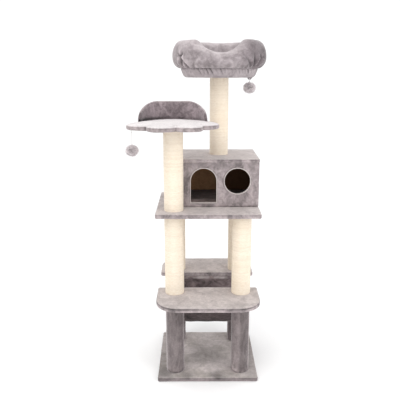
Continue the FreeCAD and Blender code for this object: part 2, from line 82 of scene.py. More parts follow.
def string_curve(name, place, node):
    """A plumb string from its thread loop to its pompom, with its way out and its length."""
    low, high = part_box(node)
    route = [(*place, high.z), (*place, high.z - 6 * STRING), (*place, low.z)]
    curve = bpy.data.curves.new(name, "CURVE")
    curve.dimensions = "3D"
    curve.bevel_depth = STRING / 2
    curve.bevel_resolution = 3
    spline = curve.splines.new("NURBS")
    spline.points.add(len(route) - 1)
    for point, at in zip(spline.points, route):
        point.co = (*at, 1)
    spline.order_u = 3
    spline.use_endpoint_u = True
    return linked(name, curve), route[0], high.z - low.z


left_string, left_exit, left_length = string_curve("left_toy_cord", LEFT_TOY, "left_toy_string")
right_string, right_exit, right_length = string_curve(
    "right_toy_cord", RIGHT_TOY, "right_toy_string")


# Numbers and noise ----------------------------------------------------------------------------

def hashed(ix, iy, iz, seed):
    """A repeatable value from -1 to 1 for each whole lattice point."""
    n = (ix * 73856093) ^ (iy * 19349663) ^ (iz * 83492791) ^ (seed * 2654435761)
    n = (n ^ (n >> 13)) & 0xFFFFFFFF
    n = (n * 1274126177) & 0xFFFFFFFF
    n = (n ^ (n >> 16)) & 0xFFFFFF
    return n / 0x7FFFFF - 1.0


def soft_noise(points, cell, seed=0):
    """Smooth noise from -1 to 1 at each point, with lumps about one cell across."""
    p = np.asarray(points, float) / cell
    base = np.floor(p).astype(np.int64)
    t = p - base
    t = t * t * (3 - 2 * t)
    total = 0.0
    for dx in (0, 1):
        for dy in (0, 1):
            for dz in (0, 1):
                weight = np.abs(1 - dx - t[:, 0]) * np.abs(1 - dy - t[:, 1]) * np.abs(1 - dz - t[:, 2])
                total = total + weight * hashed(
                    base[:, 0] + dx, base[:, 1] + dy, base[:, 2] + dz, seed)
    return total


def bell(x, width):
    """1 where x is 0, fading to nothing over about twice the width on each side."""
    return np.exp(-(x / width) ** 2)


def smooth_step(x, low, high):
    """0 up to low, 1 from high on, and a soft rise between them."""
    t = np.clip((x - low) / (high - low), 0, 1)
    return t * t * (3 - 2 * t)


def wrapped(angle):
    """An angle brought to between -pi and pi."""
    return (angle + math.pi) % (2 * math.pi) - math.pi


# Meshes ---------------------------------------------------------------------------------------

def quads(rows, columns, closed=True, looped=False, first=0):
    """Faces of a grid of points listed row by row.

    closed joins the last column to the first, and looped the last row to the first."""
    faces = []
    for r in range(rows if looped else rows - 1):
        for c in range(columns if closed else columns - 1):
            d = (c + 1) % columns
            a, b = first + r * columns, first + (r + 1) % rows * columns
            faces.append((a + c, a + d, b + d, b + c))
    return faces


def fan(first, count, centre, flip=False):
    """Triangles from a ring of points to its centre."""
    faces = [(first + i, first + (i + 1) % count, centre) for i in range(count)]
    return [f[::-1] for f in faces] if flip else faces


def mesh_of(name, points, faces):
    """Mesh data from points and faces."""
    mesh = bpy.data.meshes.new(name)
    mesh.from_pydata([tuple(p) for p in np.asarray(points, float)], [], faces)
    return mesh


def make_piece(name, points, faces, material, replaces=(), body="tree", smooth=True,
               shade=None):
    """A mesh object from points and faces that rides on a body and has a finish.

    shade darkens the colour, up to 1, and pales it, below 0: mostly painted shade and painted light,
    with a few marks where the pile parts or lies flat."""
    mesh = mesh_of(name, points, faces)
    if shade is not None:
        layer = mesh.attributes.new("shade", "FLOAT", "POINT")
        layer.data.foreach_set("value", np.asarray(shade, np.float32))
    mesh.validate()
    mesh.polygons.foreach_set("use_smooth", [smooth] * len(mesh.polygons))
    mesh.materials.append(material)
    piece = linked(name, mesh)
    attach(piece, body)
    if replaces:
        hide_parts(*replaces)
    return piece


def normals_of(points, faces):
    """Each point's outward normal, from the faces round it."""
    mesh = mesh_of("scratch", points, faces)
    normals = np.array([v.normal for v in mesh.vertices])
    bpy.data.meshes.remove(mesh)
    return normals


def roughen(points, faces, layers):
    """Moves each point along its normal by layers of (height, cell, seed) noise."""
    normals = normals_of(points, faces)
    lift = sum(height * soft_noise(points, cell, seed) for height, cell, seed in layers)
    return points + normals * lift[:, None]


def closed_loft(rings):
    """Points and faces of a solid whose rings go from its top middle, outwards, to its bottom."""
    count = len(rings[0])
    points = np.vstack([*rings, rings[0].mean(axis=0), rings[-1].mean(axis=0)])
    faces = quads(len(rings), count)
    top, bottom = len(points) - 2, len(points) - 1
    faces += fan(0, count, top, flip=True)
    faces += fan((len(rings) - 1) * count, count, bottom)
    return points, [f[::-1] for f in faces]


def flat_ring(outline, z):
    """The (x, y) points of an outline at one height."""
    return np.column_stack([outline, np.full(len(outline), z)])


def round_points(centre, radius, angle, z):
    """Points at each radius, angle and height about an upright axis at centre."""
    x, y = centre[0] + radius * np.cos(angle), centre[1] + radius * np.sin(angle)
    return np.column_stack([np.ravel(v) for v in np.broadcast_arrays(x, y, z)])


# how far out each ring of a round underside lies, as shares of its rim
UNDERSIDE = (0.95, 0.8, 0.6, 0.4, 0.2, 0.05)


def side_rings(outline, z0, z1, edge, rows):
    """Rings down the side of a slab, round its top and bottom edges. outline(inset) gives them."""
    turns = np.linspace(0, math.pi / 2, 6)
    rings = [flat_ring(outline(edge * (1 - math.sin(a))), z1 - edge * (1 - math.cos(a)))
             for a in turns]
    rings += [flat_ring(outline(0), z) for z in np.linspace(z1 - edge, z0 + edge, rows + 1)[1:-1]]
    rings += [flat_ring(outline(edge * (1 - math.cos(a))), z0 + edge * (1 - math.sin(a)))
              for a in turns]
    return rings


def slab_rings(outline, z0, z1, edge, inner_rings=22):
    """Rings of a slab whose edges are round, from the middle of its top to that of its underside."""
    rim = outline(edge * 1.3)
    middle = rim.mean(axis=0)
    rings = [flat_ring(middle + (rim - middle) * i / inner_rings, z1)
             for i in range(1, inner_rings + 1)]
    rings += side_rings(outline, z0, z1, edge, max(2, round((z1 - z0 - 2 * edge) / 0.004)))
    rings += [flat_ring(middle + (rim - middle) * share, z0) for share in (1.0, 0.9, 0.7, 0.5, 0.3, 0.1)]
    return rings


def middle_of(node):
    """The (x, y) of the middle of a CAD node."""
    low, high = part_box(node)
    return (low.x + high.x) / 2, (low.y + high.y) / 2


def rounded_outline(x0, x1, y0, y1, radii, spacing=0.006):
    """outline(inset) of a rectangle whose corners have these radii, from (x1, y0) anticlockwise."""
    corners = [(x1, y0, -90, -1, 1), (x1, y1, 0, -1, -1), (x0, y1, 90, 1, -1), (x0, y0, 180, 1, 1)]

    def outline(inset):
        arcs = []
        for (x, y, start, sx, sy), r in zip(corners, radii):
            angle = np.radians(start + np.linspace(0, 90, max(5, round(r * 1.57 / spacing)) + 1))
            arcs.append(np.column_stack([x + sx * r + (r - inset) * np.cos(angle),
                                         y + sy * r + (r - inset) * np.sin(angle)]))
        points = []
        for here, after in zip(arcs, arcs[1:] + arcs[:1]):
            gap = after[0] - here[-1]
            n = max(2, round(float(np.linalg.norm(gap)) / spacing))
            points += [here, here[-1] + gap * np.linspace(0, 1, n + 1)[1:-1, None]]
        return np.vstack(points)

    return outline


PUFF_FRAMES = 20
PUFF_PRESSURE = 4.0


def puffed(points, faces, voxel, cap, held):
    """The shape after its cover is blown up from inside, with each point moved by at most cap.

    held(points) says how firmly each point is kept where it is, from 0 to 1."""
    scene = bpy.context.scene
    mesh = mesh_of("scratch_filling", points, faces)
    scratch = linked("scratch_filling", mesh)
    remesh = scratch.modifiers.new("remesh", "REMESH")
    remesh.mode = "VOXEL"
    remesh.voxel_size = voxel
    graph = bpy.context.evaluated_depsgraph_get()
    even = bpy.data.meshes.new_from_object(scratch.evaluated_get(graph))
    scratch.modifiers.remove(remesh)
    scratch.data = even
    before = np.array([v.co for v in even.vertices])
    grip = scratch.vertex_groups.new(name="held")
    for index, weight in enumerate(held(before)):
        grip.add([index], float(weight), "REPLACE")
    cloth = scratch.modifiers.new("cloth", "CLOTH")
    cloth.settings.quality = 5
    cloth.settings.use_pressure = True
    cloth.settings.uniform_pressure_force = PUFF_PRESSURE
    cloth.settings.effector_weights.gravity = 0.0
    cloth.settings.vertex_group_mass = "held"
    cloth.settings.bending_stiffness = 0.4
    cloth.settings.tension_stiffness = 12.0
    cloth.settings.compression_stiffness = 12.0
    for number in range(1, PUFF_FRAMES + 1):
        scene.frame_set(number)
    after = np.array([v.co for v in scratch.evaluated_get(
        bpy.context.evaluated_depsgraph_get()).data.vertices])
    shift = after - before
    far = np.linalg.norm(shift, axis=1)
    moved = before + shift * np.minimum(1, cap / np.maximum(far, 1e-9))[:, None]
    even_faces = [tuple(f.vertices) for f in even.polygons]
    bpy.data.objects.remove(scratch)
    bpy.data.meshes.remove(mesh)
    bpy.data.meshes.remove(even)
    scene.frame_set(1)
    return moved, even_faces


def softened(piece):
    """The piece with one subdivision, which rounds what the remesh left."""
    smooth = piece.modifiers.new("smooth", "SUBSURF")
    smooth.levels = smooth.render_levels = 1
    return piece


CLOTH = 2.2 * MM


def thicken(piece, offset):
    """Gives a sheet its cloth's thickness, inwards where offset is -1 and both ways where it's 0."""
    shell = piece.modifiers.new("thickness", "SOLIDIFY")
    shell.thickness = CLOTH
    shell.offset = offset


# Materials ------------------------------------------------------------------------------------

class Shader:
    """A Principled material and short ways to wire its nodes."""

    def __init__(self, name, roughness=0.9, **constants):
        self.material = bpy.data.materials.new(name)
        self.material.use_nodes = True
        self.tree = self.material.node_tree
        self.tree.nodes.clear()
        output = self.tree.nodes.new("ShaderNodeOutputMaterial")
        self.bsdf = self.tree.nodes.new("ShaderNodeBsdfPrincipled")
        self.tree.links.new(self.bsdf.outputs[0], output.inputs[0])
        self.bsdf.inputs["Roughness"].default_value = roughness
        for socket, value in constants.items():
            self.bsdf.inputs[socket.replace("_", " ")].default_value = value
        self.where = self.tree.nodes.new("ShaderNodeTexCoord").outputs["Object"]

    def link(self, source, target):
        self.tree.links.new(source, target)

    def node(self, kind, vector=None, **inputs):
        """A new node with some of its inputs set, and its Vector linked where one is given."""
        node = self.tree.nodes.new("ShaderNode" + kind)
        for socket, value in inputs.items():
            node.inputs[socket.replace("_", " ")].default_value = value
        if vector is not None:
            self.link(vector, node.inputs["Vector"])
        return node

    def fill(self, sockets, values):
        """Links each socket to an output, or sets it to a number or a colour."""
        for socket, value in zip(sockets, values):
            if isinstance(value, bpy.types.NodeSocket):
                self.link(value, socket)
            else:
                socket.default_value = (*value, 1) if isinstance(value, tuple) else value

    def stretched(self, scale, source=None):
        return self.node("Mapping", source or self.where, Scale=scale).outputs[0]

    def noise(self, scale, detail=3.0, roughness=0.55, distortion=0.0, source=None):
        return self.node("TexNoise", source or self.where, Scale=scale, Detail=detail,
                         Roughness=roughness, Distortion=distortion).outputs["Fac"]

    def ramp(self, source, stops):
        """The colour at a source's value, between (value, colour) stops."""
        node = self.node("ValToRGB")
        ramp = node.color_ramp
        while len(ramp.elements) < len(stops):
            ramp.elements.new(0.5)
        for element, (at, colour) in zip(ramp.elements, stops):
            element.position = at
            element.color = (*colour, 1)
        self.link(source, node.inputs[0])
        return node.outputs[0]

    def grey(self, source, low, high):
        return self.ramp(source, [(low, (0, 0, 0)), (high, (1, 1, 1))])

    def mix(self, factor, a, b, mode="MIX"):
        """a and b are colours or outputs, and factor a number or an output."""
        node = self.node("Mix")
        node.data_type = "RGBA"
        node.blend_type = mode
        self.fill((node.inputs[0], node.inputs[6], node.inputs[7]), (factor, a, b))
        return node.outputs[2]

    def tinted(self, amount, colour, source, *stops):
        """The colour multiplied by a ramp."""
        return self.mix(amount, colour, self.ramp(source, stops), "MULTIPLY")

    def maths(self, operation, a, b):
        node = self.node("Math")
        node.operation = operation
        self.fill(node.inputs, (a, b))
        return node.outputs[0]

    def bump(self, height, distance, strength=1.0, under=None):
        node = self.node("Bump", Strength=strength, Distance=distance)
        self.link(height, node.inputs["Height"])
        if under is not None:
            self.link(under, node.inputs["Normal"])
        return node.outputs[0]

    def finish(self, colour=None, normal=None, roughness=None):
        for name, source in (("Base Color", colour), ("Normal", normal), ("Roughness", roughness)):
            if source is not None:
                self.link(source, self.bsdf.inputs[name])
        return self.material


def warm(level, green=0.855, blue=0.865):
    """A grey of this level that leans to pink."""
    return (level, level * green, level * blue)


SHADE_DEPTH = 0.62


def plush(name, dark, light, top=None, patch=11.0, streak=(1.0, 1.0, 0.8), sheen=0.35, tuft=0.6,
          extra=None):
    """Short pile, its nap laid one way in some patches and the other way in others.

    dark and light are the two ways of the pile on upright faces, and top on level ones, which are
    painted paler as light from above as well as for the pile's lie. patch is how fine the swirls
    are, streak stretches them, tuft is how much the clumps show, and extra may tint the result.
    The piece's own shade attribute darkens or lightens it with painted shade and painted light."""
    s = Shader(name, 0.95, Sheen_Weight=sheen, Sheen_Roughness=0.35,
               Sheen_Tint=(1.0, 0.95, 0.96, 1))
    where = s.stretched(streak)
    nap = s.noise(patch, 3.0, 0.55, 0.7, where)
    strokes = s.noise(patch * 3.1, 3.0, 0.6, 1.0, where)
    toning = s.mix(0.42, s.grey(nap, 0.42, 0.58), s.grey(strokes, 0.42, 0.58))
    colour = s.mix(toning, dark, light)
    if top:
        # level faces take the top colours: painted light from above along with the pile's lie
        facing = s.node("SeparateXYZ", s.node("NewGeometry").outputs["Normal"])
        level = s.grey(facing.outputs["Z"], 0.35, 0.93)
        colour = s.mix(level, colour, s.mix(toning, *top))
    tufts = s.noise(patch * 8, 4.0, 0.7, 0.8)
    colour = s.tinted(tuft, colour, tufts, (0.36, (0.80, 0.79, 0.80)), (0.62, (1.16, 1.17, 1.16)))
    fibres = s.noise(650.0, 2.0, 0.7)
    colour = s.tinted(0.4, colour, fibres, (0.3, (0.72, 0.72, 0.72)), (0.7, (1.2, 1.2, 1.2)))
    # the piece's shade attribute: painted shade darkens the colour and painted light pales it
    darkened = s.node("Attribute")
    darkened.attribute_name = "shade"
    dimmed = s.maths("SUBTRACT", 1.0, s.maths("MULTIPLY", darkened.outputs["Fac"], SHADE_DEPTH))
    both = s.node("CombineXYZ")
    s.fill(both.inputs, (dimmed, dimmed, dimmed))
    colour = s.mix(1.0, colour, both.outputs[0], "MULTIPLY")
    if extra:
        colour = extra(s, colour)
    normal = s.bump(strokes, 3 * MM, 0.3)
    normal = s.bump(tufts, 2 * MM, 0.4, normal)
    normal = s.bump(fibres, 1.2 * MM, 0.55, normal)
    return s.finish(colour, normal)


def along(s, axis, low, high):
    """0 to 1 between two places along an axis of the object."""
    split = s.node("SeparateXYZ", s.where)
    spread = s.node("MapRange", From_Min=low, From_Max=high)
    spread.interpolation_type = "SMOOTHSTEP"
    s.link(split.outputs[axis], spread.inputs["Value"])
    return spread.outputs[0]


def lit_hem(s, colour):
    """The sleeves at the top of the sling catch more light than its deep belly."""
    hem_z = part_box("hammock_rear_dowel")[0].z
    # painted light in patches along the sleeves at the top
    blotches = s.maths("MULTIPLY", along(s, "Z", hem_z - 4 * MM, hem_z + 2 * MM),
                   s.grey(s.noise(18.0, 2.0), 0.35, 0.6))
    # painted shade down the deep belly, painted light towards its top
    deep = s.tinted(1.0, colour, along(s, "Z", 0.22, 0.37), (0.0, (0.58, 0.55, 0.55)),
                    (1.0, (1.2, 1.15, 1.15)))
    return s.mix(blotches, deep, (0.42, 0.37, 0.37))


def margins_nap_and_shade(s, colour):
    """Darker pile beyond the legs: partly its lean where it's pulled round the edge of the base, partly
    painted shade.
    """
    outer = s.maths("MAXIMUM", along(s, "X", 0.15, 0.215), along(s, "X", -0.15, -0.215))
    return s.mix(s.maths("MULTIPLY", outer, 0.9), colour, (0.62, 0.62, 0.62), "MULTIPLY")


def right_nap_and_shade(s, colour):
    """Darker round the right-hand side of the bed: partly pile laid away from the light, partly painted
    shade.
    """
    return s.mix(s.maths("MULTIPLY", along(s, "X", 0.11, 0.21), 0.9), colour,
                 (0.42, 0.40, 0.41), "MULTIPLY")


def shaded_right_inside(s, colour):
    """Painted shade: the inside of the house is darker behind its window than behind its door."""
    return s.mix(along(s, "X", 0.03, 0.08), colour, (0.26, 0.21, 0.16), "MULTIPLY")


def sisal_material():
    """Pale rope: fibres that run along it and a twist that crosses them, from the rope's own map."""
    s = Shader("sisal_rope", 0.85)
    uv = s.node("UVMap")
    uv.uv_map = "rope"
    fibres = s.noise(1.0, 3.0, 0.6, 0.2, s.stretched((60.0, 900.0, 1.0), uv.outputs[0]))
    turned = s.node("Mapping", uv.outputs[0], Rotation=(0, 0, math.radians(38)),
                    Scale=(75.0, 75.0, 1.0))
    twist = s.node("TexWave", turned.outputs[0], Scale=1.0, Distortion=1.5, Detail=2.0)
    stains = s.noise(7.0, 3.0, 0.6)
    colour = s.ramp(fibres, [(0.25, (0.74, 0.61, 0.46)), (0.5, (0.93, 0.84, 0.71)),
                             (0.75, (0.96, 0.90, 0.81))])
    # darker where the twist's strands meet: painted shade in the grooves between them
    colour = s.tinted(0.30, colour, twist.outputs["Fac"], (0.0, (0.66, 0.56, 0.44)),
                      (0.6, (1.0, 1.0, 1.0)))
    colour = s.mix(s.grey(stains, 0.4, 0.75), colour, s.mix(0.25, colour, (0.84, 0.68, 0.48)))
    turns = s.noise(1.0, 2.0, 0.6, 0.0, s.stretched((2.0, 2.0, 130.0)))
    colour = s.tinted(0.5, colour, turns, (0.3, (0.88, 0.86, 0.83)), (0.6, (1.03, 1.03, 1.03)))
    normal = s.bump(twist.outputs["Fac"], 1.0 * MM, 0.7)
    normal = s.bump(fibres, 0.5 * MM, 0.6, normal)
    return s.finish(colour, normal)


def woven(name, dark, light, threads=900.0):
    """Plain woven or knitted cloth with fine crossed threads."""
    s = Shader(name, 0.85, Sheen_Weight=0.15)
    warp, weft = [s.noise(1.0, 1.0, 0.5, 0.0, s.stretched(scale))
                  for scale in ((threads, 1.0, 1.0), (1.0, 1.0, threads))]
    weave = s.maths("MULTIPLY", warp, weft)
    colour = s.mix(s.grey(weave, 0.12, 0.4), dark, light)
    blotches = s.noise(25.0, 3.0)
    colour = s.mix(s.grey(blotches, 0.35, 0.75), colour, s.mix(0.5, colour, dark))
    return s.finish(colour, s.bump(weave, 0.6 * MM, 0.5))


def board_material(name, dark, middle, light, chip=260.0, extra=None):
    """Pressed wood: small chips of several browns, rough to the touch."""
    s = Shader(name, 0.78)
    chips = s.node("TexVoronoi", s.stretched((1.0, 0.45, 1.6)), Scale=chip)
    tone = s.noise(90.0, 4.0, 0.7)
    both = s.maths("MULTIPLY", chips.outputs["Distance"], tone)
    colour = s.ramp(both, [(0.05, dark), (0.22, middle), (0.5, light)])
    if extra:
        colour = extra(s, colour)
    return s.finish(colour, s.bump(tone, 0.4 * MM, 0.5))


def grained(name, dark, light, scale=(1.0, 1.0, 12.0), roughness=0.6):
    """Wood or paper with a long grain."""
    s = Shader(name, roughness)
    grain = s.noise(14.0, 6.0, 0.65, 1.4, s.stretched(scale))
    colour = s.mix(s.grey(grain, 0.3, 0.7), dark, light)
    return s.finish(colour, s.bump(grain, 0.3 * MM, 0.4))


def zinc():
    """Dull zinc plate with faint scratches."""
    s = Shader("zinc_plate", 0.35, Metallic=1.0)
    spangle = s.noise(260.0, 3.0)
    colour = s.mix(spangle, (0.52, 0.53, 0.55), (0.70, 0.70, 0.70))
    scratches = s.noise(40.0, 5.0, 0.7, 0.0, s.stretched((1.0, 1.0, 25.0)))
    return s.finish(colour, s.bump(scratches, 0.05 * MM, 0.3), s.ramp(
        scratches, [(0.2, (0.28, 0.28, 0.28)), (0.8, (0.5, 0.5, 0.5))]))


def yarn_material(name, dark, light, scale):
    """Soft yarn, mottled at the given scale."""
    s = Shader(name, 0.95, Sheen_Weight=0.3)
    ply = s.noise(scale, 3.0, 0.7)
    colour = s.mix(s.grey(ply, 0.3, 0.7), dark, light)
    return s.finish(colour, s.bump(ply, 0.5 * MM, 0.6))


# colours for level faces, painted paler as light from above along with the pile's lie
LIT_TOPS = (warm(0.41, 0.89, 0.86), warm(0.57, 0.90, 0.87))
PLUSH = plush("plush", warm(0.17), warm(0.43), LIT_TOPS)
# the seat's plush, its top painted much paler as light from above
PLUSH_TOPS = plush("plush_pale_lit_top", warm(0.20), warm(0.46), (warm(0.66, 0.95, 0.95),
                   warm(0.75, 0.95, 0.95)), 13.0, tuft=0.3)
PLUSH_BASE = plush("plush_base", warm(0.22), warm(0.38), (warm(0.42, 0.90, 0.84),
                   warm(0.62, 0.90, 0.88)), 7.0, extra=margins_nap_and_shade)
PLUSH_LEG = plush("plush_leg", warm(0.135, 0.83, 0.84), warm(0.245, 0.85, 0.85), patch=12.0,
                  streak=(1.2, 1.2, 0.4), sheen=0.9)
PLUSH_BACKREST = plush("plush_backrest", warm(0.14, 0.80, 0.85), warm(0.32, 0.82, 0.87),
                       (warm(0.40), warm(0.55)), 16.0, sheen=0.6)
BED_PILE = (warm(0.23, 0.86, 0.89), warm(0.42, 0.88, 0.91),
            (warm(0.40, 0.88, 0.9), warm(0.54, 0.90, 0.92)), 10.0, (1.0, 1.0, 1.1), 0.45)
PLUSH_BOLSTER = plush("plush_bolster", *BED_PILE)
PLUSH_RING = plush("plush_ring", *BED_PILE, extra=right_nap_and_shade)
# a much darker copy of the plush for the house's floor pad: painted shade inside the house
PLUSH_PAD_SHADED = plush("plush_pad", warm(0.07, 0.75, 0.7), warm(0.14, 0.78, 0.75), sheen=0.1)
# a much darker copy of the plush for the hammock: painted shade under the shelves
PLUSH_SLING_SHADED = plush("plush_sling", warm(0.05, 0.78, 0.80), warm(0.19, 0.82, 0.83), patch=7.0,
                    streak=(1.0, 1.0, 2.0), sheen=0.15, extra=lit_hem)
SISAL = sisal_material()
BINDING = woven("binding", (0.46, 0.41, 0.395), (0.70, 0.645, 0.62))
STRING_YARN = yarn_material("string_yarn", (0.62, 0.61, 0.60), (0.86, 0.85, 0.84), 900.0)
POMPOM_YARN = yarn_material("pompom_yarn", (0.46, 0.415, 0.425), (0.90, 0.835, 0.845), 110.0)
CHIPBOARD = board_material("chipboard", (0.20, 0.12, 0.06), (0.45, 0.31, 0.18), (0.62, 0.47, 0.31))
BROWNS = ((0.24, 0.115, 0.055), (0.44, 0.24, 0.12), (0.58, 0.35, 0.19))
FIBREBOARD = board_material("hardboard", *BROWNS, 700.0)
# the house's inside panels, with painted shade towards the window
SHADED_BOARD = board_material("hardboard_painted_shade", *BROWNS, 700.0, shaded_right_inside)
CARDBOARD = grained("kraft_tube", (0.36, 0.25, 0.15), (0.50, 0.37, 0.24), (1.0, 1.0, 5.0), 0.85)
PINE = grained("pine", (0.50, 0.34, 0.18), (0.68, 0.50, 0.31))
ZINC = zinc()


# Soft-edged boards ----------------------------------------------------------------------------

def edge_line(points, z):
    """1 along the level z, fading out 3 mm above and below it."""
    return bell(points[:, 2] - z, 3 * MM)


def plush_slab(name, outline, node, material, edge=5 * MM, waves=0.6 * MM, seed=0, darkened=0.35,
               blotches=()):
    """The plush round a board, in the place of its CAD cover.

    darkened is how much darker the plush is along its top edge, and blotches lists (x, y, reach, how
    dark) of darker and paler patches, some of them painted shade."""
    z0, z1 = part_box(node)[0].z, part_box(node)[1].z
    points, faces = closed_loft(slab_rings(outline, z0, z1, edge))
    points = roughen(points, faces, [(waves, 0.045, seed), (0.25 * MM, 0.012, seed + 1)])
    # a darker line along the top edge, and painted light along the rolled bottom edge
    shade = darkened * edge_line(points, z1 - 5 * MM) - 0.3 * edge_line(points, z0 + 3 * MM)
    shade *= 1 + 0.5 * soft_noise(points, 0.03, seed + 2)
    for x, y, reach, dark in blotches:
        wander = 0.35 * reach * soft_noise(points, 0.6 * reach, seed + 3)
        shade += dark * bell(np.hypot(points[:, 0] - x, points[:, 1] - y) + wander, reach)
    return make_piece(name, points, faces, material, (node,), shade=shade)


def box_outline(node, radii):
    """outline(inset) of the rectangle that a CAD node fills, seen from above."""
    low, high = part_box(node)
    return rounded_outline(low.x, high.x, low.y, high.y, radii)


SLAB_CORNER = 10 * MM
SHELF_CORNER = 108 * MM
SQUARE = (SLAB_CORNER,) * 4
# the base's wide middle blotch is painted shade under the shelves, with the pile's lie; the rest are
# darker and paler marks near its front
plush_slab("base_plush", box_outline("base_cover", SQUARE), "base_cover", PLUSH_BASE, seed=3,
           blotches=[(-0.01, -0.03, 0.10, 0.45), (-0.02, -0.17, 0.07, -0.35), (0.05, -0.222, 0.04, 0.9),
                 (-0.10, -0.222, 0.03, 0.8), (-0.205, -0.20, 0.05, 0.7)])
plush_slab("front_shelf_plush",
           box_outline("front_shelf_cover", (SHELF_CORNER, SLAB_CORNER, SLAB_CORNER, SHELF_CORNER)),
           "front_shelf_cover", PLUSH, seed=5, darkened=0.95)
plush_slab("rear_shelf_plush",
           box_outline("rear_shelf_cover", (SLAB_CORNER, SHELF_CORNER, SHELF_CORNER, SLAB_CORNER)),
           "rear_shelf_cover", PLUSH, seed=7)
plush_slab("platform_plush", box_outline("house_platform_cover", SQUARE),
           "house_platform_cover", PLUSH, seed=9)


# Posts and legs -------------------------------------------------------------------------------

ROPE_PITCH = 5.2 * MM
TUBE = 40 * MM


def rope_post(node):
    """Sisal rope wound in one long helix, each turn against the next, closed at both ends."""
    low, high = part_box(node)
    middle, outer = middle_of(node), (high.x - low.x) / 2
    around, across = 72, 6
    turns = math.ceil((high.z - low.z) / ROPE_PITCH) + 1
    rows = turns * across + 1
    r, c = np.meshgrid(np.arange(rows), np.arange(around), indexing="ij")
    run = r / across + c / around - 1
    z = np.clip(low.z + run * ROPE_PITCH, low.z, high.z)
    share = (run % 1.0) * 2 - 1
    groove = 1.9 * MM * (1 - np.sqrt(np.clip(1 - 0.92 * share ** 2, 0, 1)))
    angle = 2 * math.pi * c / around
    places = round_points((0, 0), 1, angle, z)
    uneven = 0.35 * MM * soft_noise(places * (TUBE, TUBE, 1), 0.03, 11)
    radius = outer - groove + uneven.reshape(groove.shape) - 0.15 * MM
    grid = round_points(middle, radius, angle, z)
    faces, uvs = [], []
    girth = 2 * math.pi * outer
    flat_z = z.ravel()
    for i in range(rows - 1):
        for j in range(around):
            far, step = (j + 1) % around, across if j == around - 1 else 0
            if i + 1 + step > rows - 1:
                continue
            corners = (i * around + j, (i + step) * around + far,
                       (i + 1 + step) * around + far, (i + 1) * around + j)
            if np.ptp(flat_z[list(corners)]) < 1e-7:
                continue
            faces.append(corners)
            u0 = (i // across + j / around) * girth
            v0 = (i % across) / across * ROPE_PITCH
            dv = ROPE_PITCH / across
            uvs += [(u0, v0), (u0 + girth / around, v0), (u0 + girth / around, v0 + dv), (u0, v0 + dv)]
    piece = make_piece(node.replace("_sisal", "_rope"), grid, faces, SISAL, (node,))
    layer = piece.data.uv_layers.new(name="rope")
    layer.data.foreach_set("uv", np.array(uvs, np.float32).ravel())
    return piece


for rope_node in ("front_left_post_sisal", "front_right_post_sisal", "rear_left_post_sisal",
                  "rear_right_post_sisal", "seat_post_sisal", "bed_post_sisal"):
    rope_post(rope_node)


def plush_leg(node, seam_angle, swathes, seed):
    """A plush sleeve glued round a tube, with a lapped seam and a little slack at its foot.

    swathes are (degrees round, half its width, how dark) of paler and darker bands down the leg; those
    at the sides of the front-left leg are painted sheen."""
    low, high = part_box(node)
    middle, outer = middle_of(node), (high.x - low.x) / 2
    around, rows = 96, 80
    r, c = np.meshgrid(np.linspace(0, 1, rows), np.arange(around), indexing="ij")
    angle = 2 * math.pi * c / around
    z = low.z + (high.z - low.z) * r
    off = wrapped(angle - math.radians(seam_angle)) * outer
    seam = 1.3 * MM * bell(off - 3 * MM, 5 * MM) - 1.8 * MM * bell(off + 4 * MM, 2.2 * MM)
    height = z - low.z
    slack = 1.6 * MM * bell(height - 12 * MM, 9 * MM) * (0.5 + 0.5 * np.sin(angle * 5 + seed))
    pucker = 0.8 * MM * bell(height - 24 * MM, 14 * MM) * np.sin(angle * 13 + seed * 2 + height * 40)
    tuck = -1.2 * MM * (bell(height, 5 * MM) + bell(high.z - z, 5 * MM))
    places = round_points((0, 0), outer, angle, z)
    nap = 0.5 * MM * soft_noise(places, 0.035, seed) + 0.25 * MM * soft_noise(places, 0.010, seed + 1)
    radius = outer - 0.3 * MM + seam + slack + pucker + tuck + nap.reshape(z.shape)
    rings = [round_points(middle, radius[i], angle[i], z[i]) for i in range(rows)][::-1]
    points, faces = closed_loft(rings)
    # painted light on the seam's ridge and painted shade in the groove beside it
    seam_light_and_shade = -1.5 * bell(off - 3 * MM, 4 * MM) + 0.6 * bell(off + 5 * MM, 4 * MM)
    # the swathes: paler and darker bands round the leg, painted sheen among them
    toning = sum(dark * (1 - smooth_step(abs(wrapped(angle - math.radians(towards))),
                                          math.radians(0.7 * half), math.radians(1.3 * half)))
                  for towards, half, dark in swathes)
    cuff = (-0.7 * bell(height - 12 * MM, 13 * MM) + 0.6 * bell(height - 5 * MM, 5 * MM)) * (
        0.5 + 0.5 * np.sin(angle * 5 + seed * 3))
    # painted shade and light of the puckers round the foot
    pucker_shade = bell(height - 14 * MM, 18 * MM) * soft_noise(places, 0.012, seed + 2).reshape(z.shape)
    shade = np.append((seam_light_and_shade + toning + cuff + pucker_shade)[::-1].ravel(), [0, 0])
    return make_piece(node.replace("_cover", "_plush"), points, faces, PLUSH_LEG, (node,),
                      shade=shade)


# the front-left leg's pale swathes at 0 and 184 degrees are painted sheen along its sides
for leg_node, leg_seam, leg_swathes, leg_seed in (
        ("front_left_leg_cover", 150, [(0, 26, -0.75), (184, 24, -0.6), (270, 50, 0.1)], 26),
        ("front_right_leg_cover", -32, [(215, 45, -0.45), (290, 24, 0.3)], 23),
        ("rear_left_leg_cover", 100, [(20, 40, -0.4)], 22),
        ("rear_right_leg_cover", 60, [(160, 40, -0.4)], 24)):
    plush_leg(leg_node, leg_seam, leg_swathes, leg_seed)


# House ----------------------------------------------------------------------------------------

